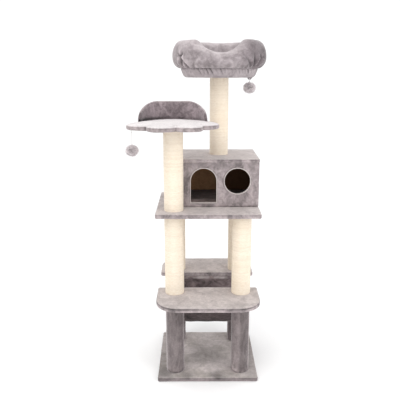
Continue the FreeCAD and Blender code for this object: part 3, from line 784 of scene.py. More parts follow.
BINDING_LIP = 3 * MM
window_low, window_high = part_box("window_binding")
OPENING_RADIUS = (window_high.x - window_low.x) / 2 - BINDING_LIP
SLEEVE = OPENING_RADIUS + 2 * MM
OPENING_RISE = 124 * MM
DOOR_X, WINDOW_X = -20 * MM, 138 * MM
SILL_RISE = 22 * MM
WALL_CORNER = 7 * MM
house_low, house_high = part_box("house_wall_cover")
opening_z = house_low.z + OPENING_RISE
sill_z = house_low.z + SILL_RISE


def opening_path(x, radius, sill=None, spacing=3 * MM):
    """The (x, z) points round a window, or round an arched door that stands on a sill."""
    if sill is None:
        n = round(2 * math.pi * OPENING_RADIUS / spacing)
        a = np.linspace(0, 2 * math.pi, n, endpoint=False)
        return np.column_stack([x + radius * np.cos(a), opening_z + radius * np.sin(a)])
    a = np.linspace(0, math.pi, round(math.pi * OPENING_RADIUS / spacing))
    arch = np.column_stack([x + radius * np.cos(a), opening_z + radius * np.sin(a)])
    side = round((opening_z - sill_z) / spacing)
    down = np.linspace(opening_z, sill, side + 1)[1:]
    floor = np.linspace(x - radius, x + radius, round(2 * OPENING_RADIUS / spacing) + 1)[1:]
    left = np.column_stack([np.full(side, x - radius), down])
    bottom = np.column_stack([floor, np.full(len(floor), sill)])
    right = np.column_stack([np.full(side - 1, x + radius), down[::-1][1:]])
    return np.vstack([arch, left, bottom, right])


def in_opening(x, z, radius, centre_x, sill=None):
    """Whether a place on the front wall is inside a window, or inside a door that has a sill."""
    inside = (x - centre_x) ** 2 + (z - opening_z) ** 2 < radius ** 2
    if sill is not None:
        inside |= (abs(x - centre_x) < radius) & (z < opening_z) & (z > sill)
    return inside


WALL_HOLES = [(DOOR_X, sill_z - 2 * MM), (WINDOW_X, None)]
WALL_MESH = 7 * MM


def wall_walk():
    """The (x, y) points round the house from the middle of its back, and how far along each is."""
    x0, x1, y0, y1 = house_low.x, house_high.x, house_low.y, house_high.y
    walk = rounded_outline(x0, x1, y0, y1, (WALL_CORNER,) * 4, 2.5 * MM)(0)
    back = int(np.argmin(abs(walk[:, 0] - (x0 + x1) / 2) + 10 * abs(walk[:, 1] - y1)))
    walk = np.roll(walk, -back, axis=0)
    walk = np.vstack([walk, walk[:1]])
    return walk, np.concatenate([[0], np.cumsum(np.linalg.norm(np.diff(walk, axis=0), axis=1))])


def wall_pattern(length, front_start):
    """The walls' plush laid flat: its (run, height) points and the triangles outside its openings.

    front_start is the run at which x is 0 on the front wall."""
    z0, z1 = house_low.z, house_high.z
    spots, edges = [], []

    def add_loop(points):
        first = len(spots)
        spots.extend(points)
        edges.extend((first + i, first + (i + 1) % len(points)) for i in range(len(points)))

    across, up = round(length / WALL_MESH), round((z1 - z0) / WALL_MESH)
    rim = [(length * i / across, z0) for i in range(across)]
    rim += [(length, z0 + (z1 - z0) * i / up) for i in range(up)]
    rim += [(length * (1 - i / across), z1) for i in range(across)]
    rim += [(0, z1 - (z1 - z0) * i / up) for i in range(up)]
    add_loop(rim)
    for x, sill in WALL_HOLES:
        add_loop([(front_start + px, pz) for px, pz in opening_path(x, SLEEVE, sill)])

    def cut_away(run, z, radius, lower):
        return any(in_opening(run - front_start, z, radius, x, sill and sill - lower)
                   for x, sill in WALL_HOLES)

    for i in range(1, across):
        for j in range(1, up):
            run, z = length * i / across, z0 + (z1 - z0) * j / up
            if not cut_away(run, z, SLEEVE + 4 * MM, 4 * MM):
                spots.append((run, z))
    flat, _, triangles = delaunay_2d_cdt([Vector(p) for p in spots], edges, [], 0, 1e-7)[:3]
    flat = np.array([tuple(p) for p in flat])
    kept = [tuple(t) for t in triangles
            if not cut_away(*flat[list(t)].mean(axis=0), SLEEVE - 0.2 * MM, 0)]
    return flat, kept


def house_walls():
    """One length of plush round all four walls, joined behind, with a door and a window cut out."""
    walk, reach = wall_walk()
    on_front = np.flatnonzero(abs(walk[:, 1] - house_low.y) < 1e-6)
    front_start = reach[on_front[0]] - walk[on_front[0], 0]
    flat, kept = wall_pattern(reach[-1], front_start)
    z0, z1 = house_low.z, house_high.z
    x = np.interp(flat[:, 0], reach, walk[:, 0])
    y = np.interp(flat[:, 0], reach, walk[:, 1])
    points = np.column_stack([x, y, flat[:, 1]])
    normals = normals_of(points, kept)
    outward = np.sign((normals[:, :2] * (points[:, :2] - middle_of("house_wall_cover"))).sum())
    height = flat[:, 1]
    tuck = MM * (0.5 * bell(z1 - height, 2 * MM) + 1.6 * bell(height - z0, 3 * MM))
    waves = 0.9 * MM * soft_noise(points, 0.06, 31) + 0.35 * MM * soft_noise(points, 0.014, 32)
    near = np.minimum(*[abs(np.hypot(flat[:, 0] - front_start - hole_x, height - opening_z) - SLEEVE)
                        for hole_x, _ in WALL_HOLES])
    waves *= smooth_step(near, 0.0, 12 * MM)
    points = points + normals * outward * (waves - tuck - 0.2 * MM)[:, None]
    if outward < 0:
        kept = [t[::-1] for t in kept]
    # painted shade darkening the top of the walls, under the roof's edge
    shaded_under_roof = smooth_step(height, z1 - 38 * MM, z1 - 14 * MM)
    piece = make_piece("house_wall_plush", points, kept, PLUSH, ("house_wall_cover",),
                       shade=0.33 * shaded_under_roof)
    thicken(piece, -1)


house_walls()
roof_low, roof_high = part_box("house_roof_cover")
ROOF_OVERHANG = 1.2 * MM
plush_slab("house_roof_plush",
           rounded_outline(roof_low.x - ROOF_OVERHANG, roof_high.x + ROOF_OVERHANG,
                           roof_low.y - ROOF_OVERHANG, roof_high.y + ROOF_OVERHANG,
                           (WALL_CORNER,) * 4),
           "house_roof_cover", PLUSH, edge=3 * MM, seed=13, waves=0.8 * MM, darkened=0.0)


def binding_ring(name, node, x, sill):
    """A folded strip of cloth sewn over the edge of an opening, puckered along its seam."""
    y = house_low.y
    # (outwards from the opening's edge, into the wall), in mm
    profile = [(0.0, 12.0), (2.0, 12.0), (2.0, 0.2), (3.0, 0.0), (3.9, -0.7), (3.8, -1.8),
               (2.8, -2.5), (1.4, -2.7), (0.3, -2.1), (-0.2, -1.0), (0.0, 2.0)]
    rings = []
    for offset, depth in profile:
        lower = None if sill is None else sill - offset * MM
        path = opening_path(x, OPENING_RADIUS + offset * MM, lower)
        run = np.arange(len(path))
        stitch = 0.18 * MM * np.sin(run * math.pi) if depth < 1 else 0 * run
        rings.append(np.column_stack([path[:, 0], y + depth * MM + stitch, path[:, 1]]))
    points = np.vstack(rings)
    faces = quads(len(profile), len(rings[0]), looped=True)
    points = points + 0.25 * MM * np.column_stack([soft_noise(points, 0.006, 41 + k) for k in range(3)])
    return make_piece(name, points, faces, BINDING, (node,))


binding_ring("door_binding_cloth", "door_binding", DOOR_X, sill_z)
binding_ring("window_binding_cloth", "window_binding", WINDOW_X, None)


def house_floor():
    """The pad that covers the floor of the house, painted pale near the door as light falling in through
    it.
    """
    low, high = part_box("house_floor_pad")
    outline = rounded_outline(low.x, high.x, low.y, high.y, (16 * MM,) * 4)
    points, faces = closed_loft(slab_rings(outline, low.z, high.z - 3 * MM, 7 * MM))
    points, faces = puffed(points, faces, 5 * MM, 6 * MM, lambda p: p[:, 2] < low.z + 2 * MM)
    points = roughen(points, faces, [(0.8 * MM, 0.045, 17), (0.25 * MM, 0.012, 18)])
    # painted light falling in through the door onto the front of the pad
    door_light = smooth_step(low.y + 85 * MM - points[:, 1], 0, 50 * MM) * (points[:, 2] > low.z + 6 * MM)
    shade = -4.0 * door_light * (0.75 + 0.5 * soft_noise(points, 0.025, 19))
    return softened(make_piece("house_floor_cushion", points, faces, PLUSH_PAD_SHADED,
                               ("house_floor_pad",), shade=shade))


floor_pad = house_floor()


# Scalloped seat -------------------------------------------------------------------------------

SEAT_X, SEAT_Y = middle_of("seat_post_sisal")
# (x, y, radius) about the post: the petals, and the round heel behind them
SEAT_LOBES = [(side * x * MM, y * MM, r * MM)
              for x, y, r in ((58, -98, 65), (125, 0, 82.5)) for side in (-1, 1)]
SEAT_HEEL = (0.0, -12 * MM, 177 * MM)
SEAT_MIDDLE_Y = SEAT_HEEL[1]


def ray_exit(angle, x, y, radius):
    """How far from the seat's middle a ray leaves a disc, or 0 where it misses it."""
    dx, dy = np.cos(angle), np.sin(angle)
    oy = y - SEAT_MIDDLE_Y
    along = x * dx + oy * dy
    square = radius ** 2 - (x ** 2 + oy ** 2 - along ** 2)
    return np.where(square > 0, along + np.sqrt(np.maximum(square, 0)), 0)


SEAT_TURN, BACKREST_TURN = math.radians(7), math.radians(3)


def turned_on_post(points, angle):
    """Points turned anticlockwise about the seat's post, seen from above."""
    east, north = points[:, 0] - SEAT_X, points[:, 1] - SEAT_Y
    return np.column_stack([SEAT_X + east * math.cos(angle) - north * math.sin(angle),
                            SEAT_Y + east * math.sin(angle) + north * math.cos(angle),
                            points[:, 2]])


SEAT_ANGLES = np.linspace(-math.pi / 2, 1.5 * math.pi, 300, endpoint=False)


def seat_outline(inset):
    """The petals in front and at the ends and the round heel, all drawn in by inset."""
    reach = np.zeros_like(SEAT_ANGLES)
    for x, y, radius in SEAT_LOBES:
        reach = np.maximum(reach, ray_exit(SEAT_ANGLES, x, y, radius - inset))
    heel = ray_exit(SEAT_ANGLES, *SEAT_HEEL[:2], SEAT_HEEL[2] - inset)
    behind = np.sin(SEAT_ANGLES) > -SEAT_MIDDLE_Y / SEAT_HEEL[2]
    reach = np.where(behind, np.maximum(reach, heel), reach)
    return np.column_stack([SEAT_X + reach * np.cos(SEAT_ANGLES),
                            SEAT_Y + SEAT_MIDDLE_Y + reach * np.sin(SEAT_ANGLES)])


seat_low, seat_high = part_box("seat_cover")
SEAT_EDGE = 5.5 * MM
SEAT_CROWN = 13 * MM
# how many waves of the outline the smooth shape in the seat's middle keeps
SMOOTH_WAVES = 6


def notches():
    """Where the round petals of the seat meet, from its middle."""
    outline = seat_outline(0) - [SEAT_X, SEAT_Y + SEAT_MIDDLE_Y]
    reach = np.linalg.norm(outline, axis=1)
    dips = (reach < np.roll(reach, 2)) & (reach < np.roll(reach, -2))
    dips &= (reach <= np.roll(reach, 1)) & (reach <= np.roll(reach, -1)) & (outline[:, 1] < 20 * MM)
    return outline[dips]


SEAT_NOTCHES = notches()


def seat_cushion():
    """A petal-edged board wrapped in plush over a pad.

    Towards its middle the rings lose the petals' shape, so that the pad is crowned smoothly."""
    z0, z1 = seat_low.z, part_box("seat_board")[1].z + 3 * MM
    middle = np.array([SEAT_X, SEAT_Y + SEAT_MIDDLE_Y])
    rim = seat_outline(1.2 * SEAT_EDGE) - middle
    reach = np.linalg.norm(rim, axis=1)
    waves = np.fft.rfft(reach)
    waves[SMOOTH_WAVES:] = 0
    low_pass = np.fft.irfft(waves, len(reach))
    low_pass -= max(0, (low_pass - reach).max())
    smooth = rim / reach[:, None] * low_pass[:, None]
    rings = []
    for share in np.linspace(0.04, 1, 30):
        keep = smooth_step(share, 0.80, 1.0)
        ring = middle + share * (rim * keep + smooth * (1 - keep))
        inwards = (1 - share) * reach.mean()
        rings.append(flat_ring(ring, z1 + SEAT_CROWN * (1 - math.exp(-inwards / 0.016))))
    rings += side_rings(seat_outline, z0, z1, SEAT_EDGE, 4)
    rings += [flat_ring(middle + rim * share, z0) for share in UNDERSIDE]
    points, faces = closed_loft(rings)
    points = turned_on_post(points, SEAT_TURN)
    points, faces = puffed(points, faces, 4 * MM, 5 * MM, lambda p: p[:, 2] < z1 - 2 * MM)
    points = roughen(points, faces, [(0.9 * MM, 0.045, 23), (0.3 * MM, 0.012, 24)])
    square = turned_on_post(points, -SEAT_TURN)
    east, north = square[:, 0] - middle[0], square[:, 1] - middle[1]
    # painted shade in the notches between the petals, on their sides, and a darker line below the top
    # edge
    notch = np.zeros(len(points))
    for x, y in SEAT_NOTCHES:
        notch = np.maximum(notch, bell(np.hypot(east - x, north - y), 7 * MM))
    on_side = smooth_step(z1 - 1 * MM - points[:, 2], 0, 5 * MM)
    shade = 0.9 * notch * on_side + 0.25 * edge_line(points, z1 - 6 * MM)
    return softened(make_piece("seat_plush", points, faces, PLUSH_TOPS,
                               ("seat_cover", "seat_pad"), shade=shade))


seat = seat_cushion()


def backrest():
    """A thin padded wall round the back of the seat, its top corners round when seen from the front."""
    low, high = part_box("backrest_cover")
    z0, height = low.z, high.z - low.z
    outer, thick, corner = 155 * MM, 10 * MM, 80 * MM
    mid = outer - thick / 2
    columns = 110
    end = math.radians(2.5)
    rings = []
    up, over = np.linspace(0, 1, 17), np.linspace(0, math.pi, 9)[1:-1]
    for a in np.linspace(end, math.pi - end, columns):
        edge = min(a - end, math.pi - end - a) * outer
        half = (thick / 2 + 1.8 * MM) * math.sqrt(max(0.03, 1 - (1 - min(edge / (7 * MM), 1)) ** 2))
        swell = 3.2 * MM * min(1, edge / (40 * MM))
        # one ring goes up the outside, over the top and down the swollen inside
        offset = np.concatenate([np.full(17, half), half * np.cos(over),
                                 -half - swell * np.sin(math.pi * up[::-1]) ** 0.6])
        share = np.concatenate([up, np.ones(7), up[::-1]])
        rise = np.concatenate([np.zeros(17), half * np.sin(over), np.zeros(17)])
        x = np.abs((mid + offset) * math.cos(a))
        past = np.clip(x - (outer - corner), 0, corner)
        top = height - corner + np.sqrt(corner ** 2 - past ** 2) + 2.5 * MM
        rings.append(np.column_stack([SEAT_X + (mid + offset) * math.cos(a),
                                      SEAT_Y + (mid + offset) * math.sin(a),
                                      z0 + share * (top - half) + rise]))
    count = len(rings[0])
    points = np.vstack([*rings, rings[0].mean(axis=0), rings[-1].mean(axis=0)])
    faces = quads(columns, count)
    faces += fan(0, count, len(points) - 2, flip=True)
    faces += fan((columns - 1) * count, count, len(points) - 1)
    points = turned_on_post(points, BACKREST_TURN)
    points, faces = puffed(points, faces, 4 * MM, 3 * MM, lambda p: p[:, 2] < z0 + 8 * MM)
    points = roughen(points, faces, [(0.7 * MM, 0.035, 27), (0.3 * MM, 0.010, 28)])
    square = turned_on_post(points, -BACKREST_TURN)
    east, north = square[:, 0] - SEAT_X, square[:, 1] - SEAT_Y
    # painted light on the outside of the wall, painted shade inside its left end and in the crease along
    # the seat
    outside = smooth_step(np.hypot(east, north), mid, outer)
    rim = outside * smooth_step(60 * MM - north, 0, 40 * MM)
    lee = smooth_step(-east, 85 * MM, 125 * MM) * (1 - outside)
    crease = bell(points[:, 2] - z0 - 19 * MM, 7 * MM) * (0.6 + 0.6 * smooth_step(-east, 0, 60 * MM))
    shade = 0.45 * lee + crease - 1.0 * rim
    return softened(make_piece("backrest_plush", points, faces, PLUSH_BACKREST,
                               ("backrest_cover",), shade=shade))


backrest_piece = backrest()


# Round bed ------------------------------------------------------------------------------------

BED = middle_of("bed_band")
bolster_low, bolster_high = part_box("bed_bolster")
# the middle and half the width of the bolster's roll, its dip in front, and how far up it is widest
RING_RADIUS, RING_HALF = 172.5 * MM, 49 * MM
DIP, DIP_HALF = 58 * MM, 107 * MM
WIDEST = 0.40
# (degrees round the bed, depth in mm, how far it slants) of each tuck along the seam
TUCKS = [(-147, 15.0, 10), (-139, 11.0, -16), (-126, 6.0, 22), (-50, 10.0, -34), (-43, 14.0, -10),
         (-37, 12.0, 16), (10, 9.0, -8), (48, 10.0, 9), (80, 8.0, -10), (118, 10.0, 8),
         (160, 9.0, -9)]
# (degrees round the bed, height up the bolster, depth in mm, turn) of each star of folds
PINCHES = [(-145, 0.42, 15.0, 0.9), (-31, 0.36, 11.0, 2.4), (60, 0.42, 10.0, 0.2)]


def ring_top(phi):
    """Height of the bolster above its seam, with the low place in front that a cat steps over."""
    full = bolster_high.z - bolster_low.z
    scoop = (DIP_HALF ** 2 + DIP ** 2) / (2 * DIP)
    x = np.abs(RING_RADIUS * np.cos(phi))
    drop = np.sqrt(np.maximum(scoop ** 2 - np.minimum(x, scoop) ** 2, 0)) - (scoop - DIP)
    soft = 5 * MM
    drop = soft * np.log1p(np.exp(np.clip(drop / soft, -30, 30)))
    return full - np.where(np.sin(phi) < 0, np.minimum(drop, DIP + soft), 0)


def gathered(points):
    """How far the tucks and the puckers push each point of the bolster out, and their painted shade and
    light.
    """
    east, north = points[:, 0] - BED[0], points[:, 1] - BED[1]
    phi = np.arctan2(north, east)
    level = (points[:, 2] - bolster_low.z) / (bolster_high.z - bolster_low.z)
    outside = smooth_step(np.hypot(east, north), RING_RADIUS - 5 * MM, RING_RADIUS + 25 * MM)
    lift, dark = np.zeros(len(points)), np.zeros(len(points))
    for degrees, depth, slant in TUCKS:
        lean = math.radians(degrees) + math.radians(slant) * (level - 0.1)
        off = wrapped(phi - lean) * RING_RADIUS
        reach = smooth_step(0.62 - level, 0.0, 0.45) * outside
        lift -= depth * MM * np.exp(-np.abs(off) / (6 * MM)) * reach
        lift += 0.35 * depth * MM * (bell(off - 15 * MM, 8 * MM) + bell(off + 15 * MM, 8 * MM)) * reach
        # painted shade in each tuck and painted light on the ridge beside it
        dark += depth / 15 * (1.0 * bell(off, 5 * MM) - 0.6 * bell(off - 11 * MM, 6 * MM)) * reach
    for degrees, height, depth, turn in PINCHES:
        beside = wrapped(phi - math.radians(degrees)) * (RING_RADIUS + RING_HALF)
        above = (level - height) * (bolster_high.z - bolster_low.z)
        far = np.hypot(beside, above)
        rays = np.cos(3 * np.arctan2(above, beside) + turn)
        lift -= depth * MM * bell(far, 8 * MM) * outside
        lift += 0.40 * depth * MM * rays * bell(far - 15 * MM, 11 * MM) * outside
        # painted light along the folds of each pinch and painted shade in its middle
        pale = 0.75 * rays * bell(far - 15 * MM, 10 * MM)
        dark += depth / 15 * (1.1 * bell(far, 8 * MM) - pale) * outside
    puckers = np.sin(phi * 44 + 2 * np.sin(phi * 7)) * bell(level, 0.13)
    # painted shade and light follow the puckers along the seam
    return lift + 1.3 * MM * puckers * outside, dark + 0.25 * puckers * outside


def bolster():
    """A thick loose ring of filled plush, pulled in by tucks where it's sewn to the band."""
    around, section = 300, 76
    p, s = np.meshgrid(np.linspace(0, 2 * math.pi, around, endpoint=False),
                       np.linspace(-math.pi / 2, 1.5 * math.pi, section, endpoint=False),
                       indexing="ij")
    out = np.sign(np.cos(s)) * np.abs(np.cos(s)) ** 0.9
    up = np.sin(s)
    height = ring_top(p)
    side = RING_RADIUS + RING_HALF * out
    z = bolster_low.z + height * (WIDEST + np.where(up < 0, WIDEST * up, (1 - WIDEST) * up))
    points = round_points(BED, side, p, z)
    faces = quads(around, section, looped=True)
    middle = round_points(BED, RING_RADIUS, p, bolster_low.z + height / 2)
    if ((points - middle) * normals_of(points, faces)).sum() < 0:
        faces = [f[::-1] for f in faces]
    points, faces = puffed(points, faces, 5 * MM, 8 * MM,
                           lambda at: at[:, 2] < bolster_low.z + 9 * MM)
    points = roughen(points, faces, [(3.0 * MM, 0.085, 51), (1.5 * MM, 0.035, 52)])
    lift, dark = gathered(points)
    points = points + normals_of(points, faces) * lift[:, None]
    points[:, 2] = np.maximum(points[:, 2], bolster_low.z - 4 * MM)
    return softened(make_piece("bed_bolster_plush", points, faces, PLUSH_RING,
                               ("bed_bolster",), shade=dark))


bolster_piece = bolster()

PLEATS = 60
# (degrees round the bed, spread in radians, depth) of each bunch of pleats
GATHERED = [(-106, 0.42, 1.0), (-44, 0.22, 0.9)]


def band():
    """The plush skirt round the bed's board, gathered under the bolster and turned in below."""
    around = 780
    phi = np.linspace(0, 2 * math.pi, around, endpoint=False)
    z0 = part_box("bed_band")[0].z
    # (radius, height) of the band's outside from its turned-in foot upwards, in mm
    outline = [(158.0, 0.0), (163.0, 1.2), (168.0, 5.0), (172.5, 11.0), (175.0, 17.0), (177.5, 23.0),
               (180.0, 29.0), (182.0, 34.0), (182.5, 38.0), (180.0, 42.0), (172.0, 43.0)]
    places = round_points((0, 0), 1, phi, 0)
    bunched = 0.25 + 0.2 * soft_noise(places, 0.5, 63)
    for degrees, spread, depth in GATHERED:
        bunched = np.maximum(bunched, depth * bell(wrapped(phi - math.radians(degrees)), spread))
    rings, shades = [], []
    # run counts the pleats round the bed, which are uneven and lean a little
    for radius, height in outline[::-1]:
        level = height / 41.0
        run = phi * PLEATS / (2 * math.pi) + 0.25 * np.sin(phi * 5) + 0.12 * np.sin(phi * 13) + level
        which = np.floor(run).astype(np.int64) % PLEATS
        depth = bunched * (0.75 + 0.35 * np.sin(which * 2.4))
        fold = bell(run % 1.0 - 0.5, 0.17)
        upper = smooth_step(level, 0.30, 0.55)
        r = radius * MM + (1.0 - 4.5 * fold) * MM * depth * upper - 0.8 * MM
        # painted shade in each pleat's fold and painted light just past it
        shades.append((1.3 * fold - 0.35 * bell(run % 1.0 - 0.85, 0.16)) * depth * upper)
        rings.append(round_points(BED, r, phi, z0 + height * MM))
    for share in (0.98, 0.4, 0.05):
        ring = rings[0].copy()
        ring[:, :2] = BED + (ring[:, :2] - BED) * share
        rings.insert(0, ring)
        shades.insert(0, np.zeros(around))
    rings += [round_points(BED, outline[0][0] * MM * share, phi, z0) for share in UNDERSIDE]
    points, faces = closed_loft(rings)
    points = roughen(points, faces, [(0.8 * MM, 0.03, 61), (0.3 * MM, 0.010, 62)])
    shade = np.concatenate(shades)
    shade = np.append(shade, np.zeros(len(points) - len(shade)))
    return make_piece("bed_band_plush", points, faces, PLUSH_BOLSTER, ("bed_band",),
                      shade=shade)


band()


def bed_cushion():
    """The round pad in the bottom of the bed, crowned and a little uneven."""
    low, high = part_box("bed_cushion")
    phi = np.linspace(0, 2 * math.pi, 160, endpoint=False)
    flat, fall, steps = 121 * MM, 18 * MM, 20
    rings = [round_points(BED, flat * i / steps, phi, high.z - fall * (i / steps) ** 3)
             for i in range(1, steps + 1)]
    for radius, z in ((127, high.z - 0.022), (131, high.z - 0.027), (132, low.z + 0.004),
                      (128, low.z + 0.001), (90, low.z + 0.001), (30, low.z + 0.001)):
        rings.append(round_points(BED, radius * MM, phi, z))
    points, faces = closed_loft(rings)
    points, faces = puffed(points, faces, 5 * MM, 5 * MM, lambda p: p[:, 2] < low.z + 4 * MM)
    points = roughen(points, faces, [(1.4 * MM, 0.05, 71), (0.4 * MM, 0.012, 72)])
    return softened(make_piece("bed_cushion_plush", points, faces, PLUSH_BOLSTER,
                               ("bed_cushion",)))


cushion_piece = bed_cushion()


# Hammock --------------------------------------------------------------------------------------

def catenary_scale(half_span, sag):
    """The a of z = a cosh(y / a) that sags by sag over half_span, by halving a bracket."""
    low, high = half_span / 20, half_span * 20
    for _ in range(60):
        a = (low + high) / 2
        if a * (math.cosh(half_span / a) - 1) > sag:
            low = a
        else:
            high = a
    return a


def hammock():
    """One piece of double plush: a sleeve round each dowel and a deep sling between them."""
    low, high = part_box("hammock")
    front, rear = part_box("hammock_front_dowel"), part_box("hammock_rear_dowel")
    dowel_y = [(box[0].y + box[1].y) / 2 for box in (front, rear)]
    dowel_z = (front[0].z + front[1].z) / 2
    sleeve = 6.4 * MM
    bottom = low.z + 6 * MM
    middle = sum(dowel_y) / 2
    half_span = (dowel_y[1] - dowel_y[0]) / 2 - sleeve
    a = catenary_scale(half_span, dowel_z - bottom)
    steps = 90
    y = np.linspace(-half_span, half_span, steps)
    z = bottom + a * (np.cosh(y / a) - 1)
    run = np.concatenate([[0], np.cumsum(np.hypot(np.diff(y), np.diff(z)))])
    even = np.linspace(0, run[-1], steps)
    y, z = np.interp(even, run, y), np.interp(even, run, z)
    # from the sling's two ends the cloth goes most of the way round its dowels
    turn = np.radians(np.linspace(0, 300, 15))
    front_wrap = [(dowel_y[0] - middle + sleeve * math.cos(t), dowel_z + sleeve * math.sin(t))
                  for t in turn[:0:-1]]
    rear_wrap = [(dowel_y[1] - middle - sleeve * math.cos(t), dowel_z + sleeve * math.sin(t))
                 for t in turn[1:]]
    path = np.array(front_wrap + list(zip(y, z)) + rear_wrap)
    half = (high.x - low.x) / 2 - 1 * MM
    columns = 60
    x = np.linspace(-half, half, columns)
    rows = len(path)
    grid = np.stack(np.broadcast_arrays(x[None, :], middle + path[:, :1], path[:, 1:]), axis=-1)
    inner = np.zeros(rows)
    inner[len(front_wrap):len(front_wrap) + steps] = np.sin(np.linspace(0, math.pi, steps)) ** 0.7
    edge = smooth_step(np.abs(x) / half, 0.55, 1.0)
    places = grid.reshape(-1, 3)
    ripple = (2.5 * MM * soft_noise(places * (1, 0.5, 0.35), 0.045, 81)).reshape(rows, columns)
    grid[:, :, 0] *= 1 - 0.035 * inner[:, None]
    grid[:, :, 2] += inner[:, None] * (ripple + 7 * MM * edge[None, :] * inner[:, None])
    points = grid.reshape(-1, 3)
    faces = quads(rows, columns, closed=False)
    piece = make_piece("hammock_cloth", points, faces, PLUSH_SLING_SHADED, ("hammock",))
    thicken(piece, 0)
    length = float(np.linalg.norm(np.diff(path, axis=0), axis=1).sum())
    return piece, 2 * half, length


hammock_piece, hammock_width, hammock_length = hammock()


# Toys -----------------------------------------------------------------------------------------

def pompom(name, node, place, body, seed):
    """Hundreds of cut yarn ends that spread from a tied middle."""
    low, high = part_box(node)
    centre = np.array([*place, (low.z + high.z) / 2])
    size = np.array([(high.x - low.x) / 2, (high.y - low.y) / 2, (high.z - low.z) / 2])
    strands, sides, steps = 900, 5, 4
    rng = np.random.default_rng(seed)
    points, faces = [], []
    golden = math.pi * (3 - math.sqrt(5))
    for k in range(strands):
        zed = 1 - 2 * (k + 0.5) / strands
        ring = math.sqrt(1 - zed * zed)
        axis = np.array([ring * math.cos(golden * k), ring * math.sin(golden * k), zed])
        axis = axis + rng.normal(0, 0.10, 3)
        axis /= np.linalg.norm(axis)
        bend = np.cross(axis, rng.normal(0, 1, 3))
        side = np.cross(axis, [0.3, 0.9, 0.31])
        side /= np.linalg.norm(side)
        other = np.cross(axis, side)
        length = rng.uniform(0.98, 1.20)
        thick = rng.uniform(0.9, 1.35) * MM
        first = len(points)
        for i in range(steps):
            t = i / (steps - 1)
            spot = axis * (0.35 + 0.65 * t) * length + bend * 0.10 * t * t
            radius = thick * (0.75 + 0.55 * t) * (0.55 if i == steps - 1 else 1)
            for j in range(sides):
                a = 2 * math.pi * j / sides
                points.append(centre + spot * size
                              + radius * (math.cos(a) * side + math.sin(a) * other))
        faces += quads(steps, sides, first=first)
        faces.append(tuple(first + (steps - 1) * sides + j for j in range(sides)))
        faces.append(tuple(first + j for j in range(sides))[::-1])
    return make_piece(name, points, faces, POMPOM_YARN, (node,), body)


left_pompom = pompom("left_pompom_yarn", "left_pompom", LEFT_TOY, "left_toy", 5)
right_pompom = pompom("right_pompom_yarn", "right_pompom", RIGHT_TOY, "right_toy", 6)


def knot(name, place, z, body):
    """The small overhand knot that ties a string to its thread loop."""
    thread, size, steps, sides = 0.75 * MM, 1.25 * MM, 60, 8
    t = np.linspace(0, 2 * math.pi, steps, endpoint=False)
    path = np.column_stack([np.sin(t) + 2 * np.sin(2 * t), np.cos(t) - 2 * np.cos(2 * t),
                            -1.2 * np.sin(3 * t)]) * size / 1.6
    ahead = np.roll(path, -1, axis=0) - np.roll(path, 1, axis=0)
    ahead /= np.linalg.norm(ahead, axis=1)[:, None]
    side = np.cross(ahead, [0.2, 0.1, 1.0])
    side /= np.linalg.norm(side, axis=1)[:, None]
    other = np.cross(ahead, side)
    a = np.linspace(0, 2 * math.pi, sides, endpoint=False)
    rings = [path[i] + thread * (np.outer(np.cos(a), side[i]) + np.outer(np.sin(a), other[i]))
             for i in range(steps)]
    points = np.vstack(rings) + [*place, z]
    faces = quads(steps, sides, looped=True)
    return make_piece(name, points, faces, STRING_YARN, (), body)


left_knot = knot("left_toy_knot", LEFT_TOY, left_exit[2] - 3 * MM, "left_toy")
right_knot = knot("right_toy_knot", RIGHT_TOY, right_exit[2] - 3 * MM, "right_toy")


def cloth_tab():
    """The little plush ear under the bed that the right-hand toy is looped through."""
    low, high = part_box("right_toy_tab")
    x, y = middle_of("right_toy_tab")
    curve = bpy.data.curves.new("right_toy_ear", "CURVE")
    curve.dimensions = "2D"
    curve.fill_mode = "BOTH"
    curve.extrude = 0.55 * MM
    curve.bevel_depth = 0.4 * MM
    curve.bevel_resolution = 2
    wide, narrow, top, bottom = 14 * MM, 6 * MM, high.z + 3 * MM, low.z - 1.0 * MM
    outline = [(-wide, top), (wide, top), (narrow, bottom + 2.5 * MM), (0, bottom),
               (-narrow, bottom + 2.5 * MM)]
    hole_z = low.z + 4.5 * MM
    hole = [(2.1 * MM * math.cos(a), hole_z + 2.1 * MM * math.sin(a))
            for a in np.linspace(0, 2 * math.pi, 16, endpoint=False)]
    for loop in (outline, hole):
        spline = curve.splines.new("POLY")
        spline.points.add(len(loop) - 1)
        for point, (px, pz) in zip(spline.points, loop):
            point.co = (px, pz - hole_z, 0, 1)
        spline.use_cyclic_u = True
    shape = linked("scratch_ear", curve)
    graph = bpy.context.evaluated_depsgraph_get()
    mesh = bpy.data.meshes.new_from_object(shape.evaluated_get(graph))
    bpy.data.objects.remove(shape)
    points = np.array([v.co for v in mesh.vertices])
    faces = [tuple(f.vertices) for f in mesh.polygons]
    bpy.data.meshes.remove(mesh)
    points = np.column_stack([x + points[:, 0], y + points[:, 2], hole_z + points[:, 1]])
    return make_piece("right_toy_ear", points, faces, PLUSH_BOLSTER, ("right_toy_tab",),
                      smooth=False)


cloth_tab()


# CAD nodes that show as they are ---------------------------------------------------------------

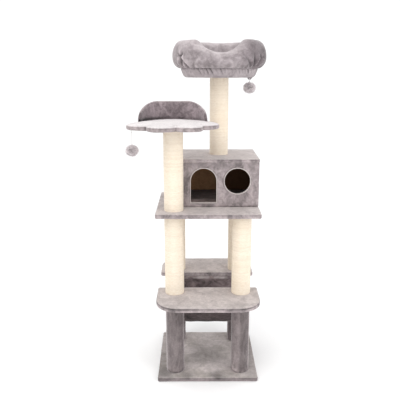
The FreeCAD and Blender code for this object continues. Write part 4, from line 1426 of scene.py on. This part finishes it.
CAD_FINISHES = {
    CHIPBOARD: ("base_board", "front_shelf_board", "rear_shelf_board", "house_platform_board",
                "seat_board", "bed_board"),
    FIBREBOARD: ("house_left_panel", "backrest_core"),
    # the house's panels carry painted shade towards the window
    SHADED_BOARD: ("house_front_panel", "house_back_panel", "house_right_panel",
                    "house_roof_panel"),
    CARDBOARD: ("leg_tubes", "post_tubes", "seat_post_tube", "bed_post_tube"),
    PINE: ("leg_end_plugs", "post_end_plugs", "upper_post_end_plugs", "hammock_front_dowel",
           "hammock_rear_dowel"),
    ZINC: ("connector_bolts", "connector_rods", "base_washers", "house_screws", "hammock_screws",
           "left_toy_staple"),
    STRING_YARN: ("left_toy_loop", "right_toy_loop"),
}
for finish, names in CAD_FINISHES.items():
    for node_name in names:
        node_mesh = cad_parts[node_name].data
        node_mesh.materials.clear()
        node_mesh.materials.append(finish)


# Toy strings: their yarn and the bodies they hang from -----------------------------------------

for string, exit_point, length, node_name, body_name, pieces in (
        (left_string, left_exit, left_length, "left_toy_string", "left_toy",
         [left_pompom, left_knot]),
        (right_string, right_exit, right_length, "right_toy_string", "right_toy",
         [right_pompom, right_knot])):
    string.data.materials.append(STRING_YARN)
    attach(string, body_name)
    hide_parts(node_name)


# Studio ---------------------------------------------------------------------------------------

def area_light(name, location, target, size, power, colour):
    """A rectangular lamp of some watts, aimed at a target."""
    data = bpy.data.lights.new(name, "AREA")
    data.shape = "RECTANGLE"
    data.size, data.size_y = size
    data.energy = power
    data.color = colour
    light = linked(name, data)
    light.location = location
    aim = Vector(target) - Vector(location)
    light.rotation_euler = aim.to_track_quat("-Z", "Y").to_euler()


FLOOR_HALF = 60
SURROUND_STRENGTH = 1.09


def studio():
    """A pale floor, an even white surround and two large soft lamps."""
    corners = [(x * FLOOR_HALF, y * FLOOR_HALF, 0) for x, y in ((-1, -1), (1, -1), (1, 1), (-1, 1))]
    mesh = mesh_of("studio_floor", corners, [(0, 1, 2, 3)])
    s = Shader("pale_floor", 0.9)
    tone = s.noise(0.6, 2.0)
    mesh.materials.append(s.finish(s.mix(tone, (0.96, 0.96, 0.96), (0.98, 0.98, 0.98))))
    floor = linked("studio_floor", mesh)
    world = bpy.data.worlds.new("studio")
    world.use_nodes = True
    background = world.node_tree.nodes["Background"]
    background.inputs["Color"].default_value = (1.0, 1.0, 1.0, 1)
    background.inputs["Strength"].default_value = SURROUND_STRENGTH
    bpy.context.scene.world = world
    area_light("key", (-1.6, -2.4, 4.0), (0, 0, 0.9), (3.0, 3.0), 50, (1.0, 0.99, 0.97))
    area_light("fill", (2.6, -2.4, 2.2), (0, 0, 0.8), (2.0, 2.4), 28, (0.97, 0.98, 1.0))
    bpy.context.scene.view_settings.view_transform = "Standard"


studio()
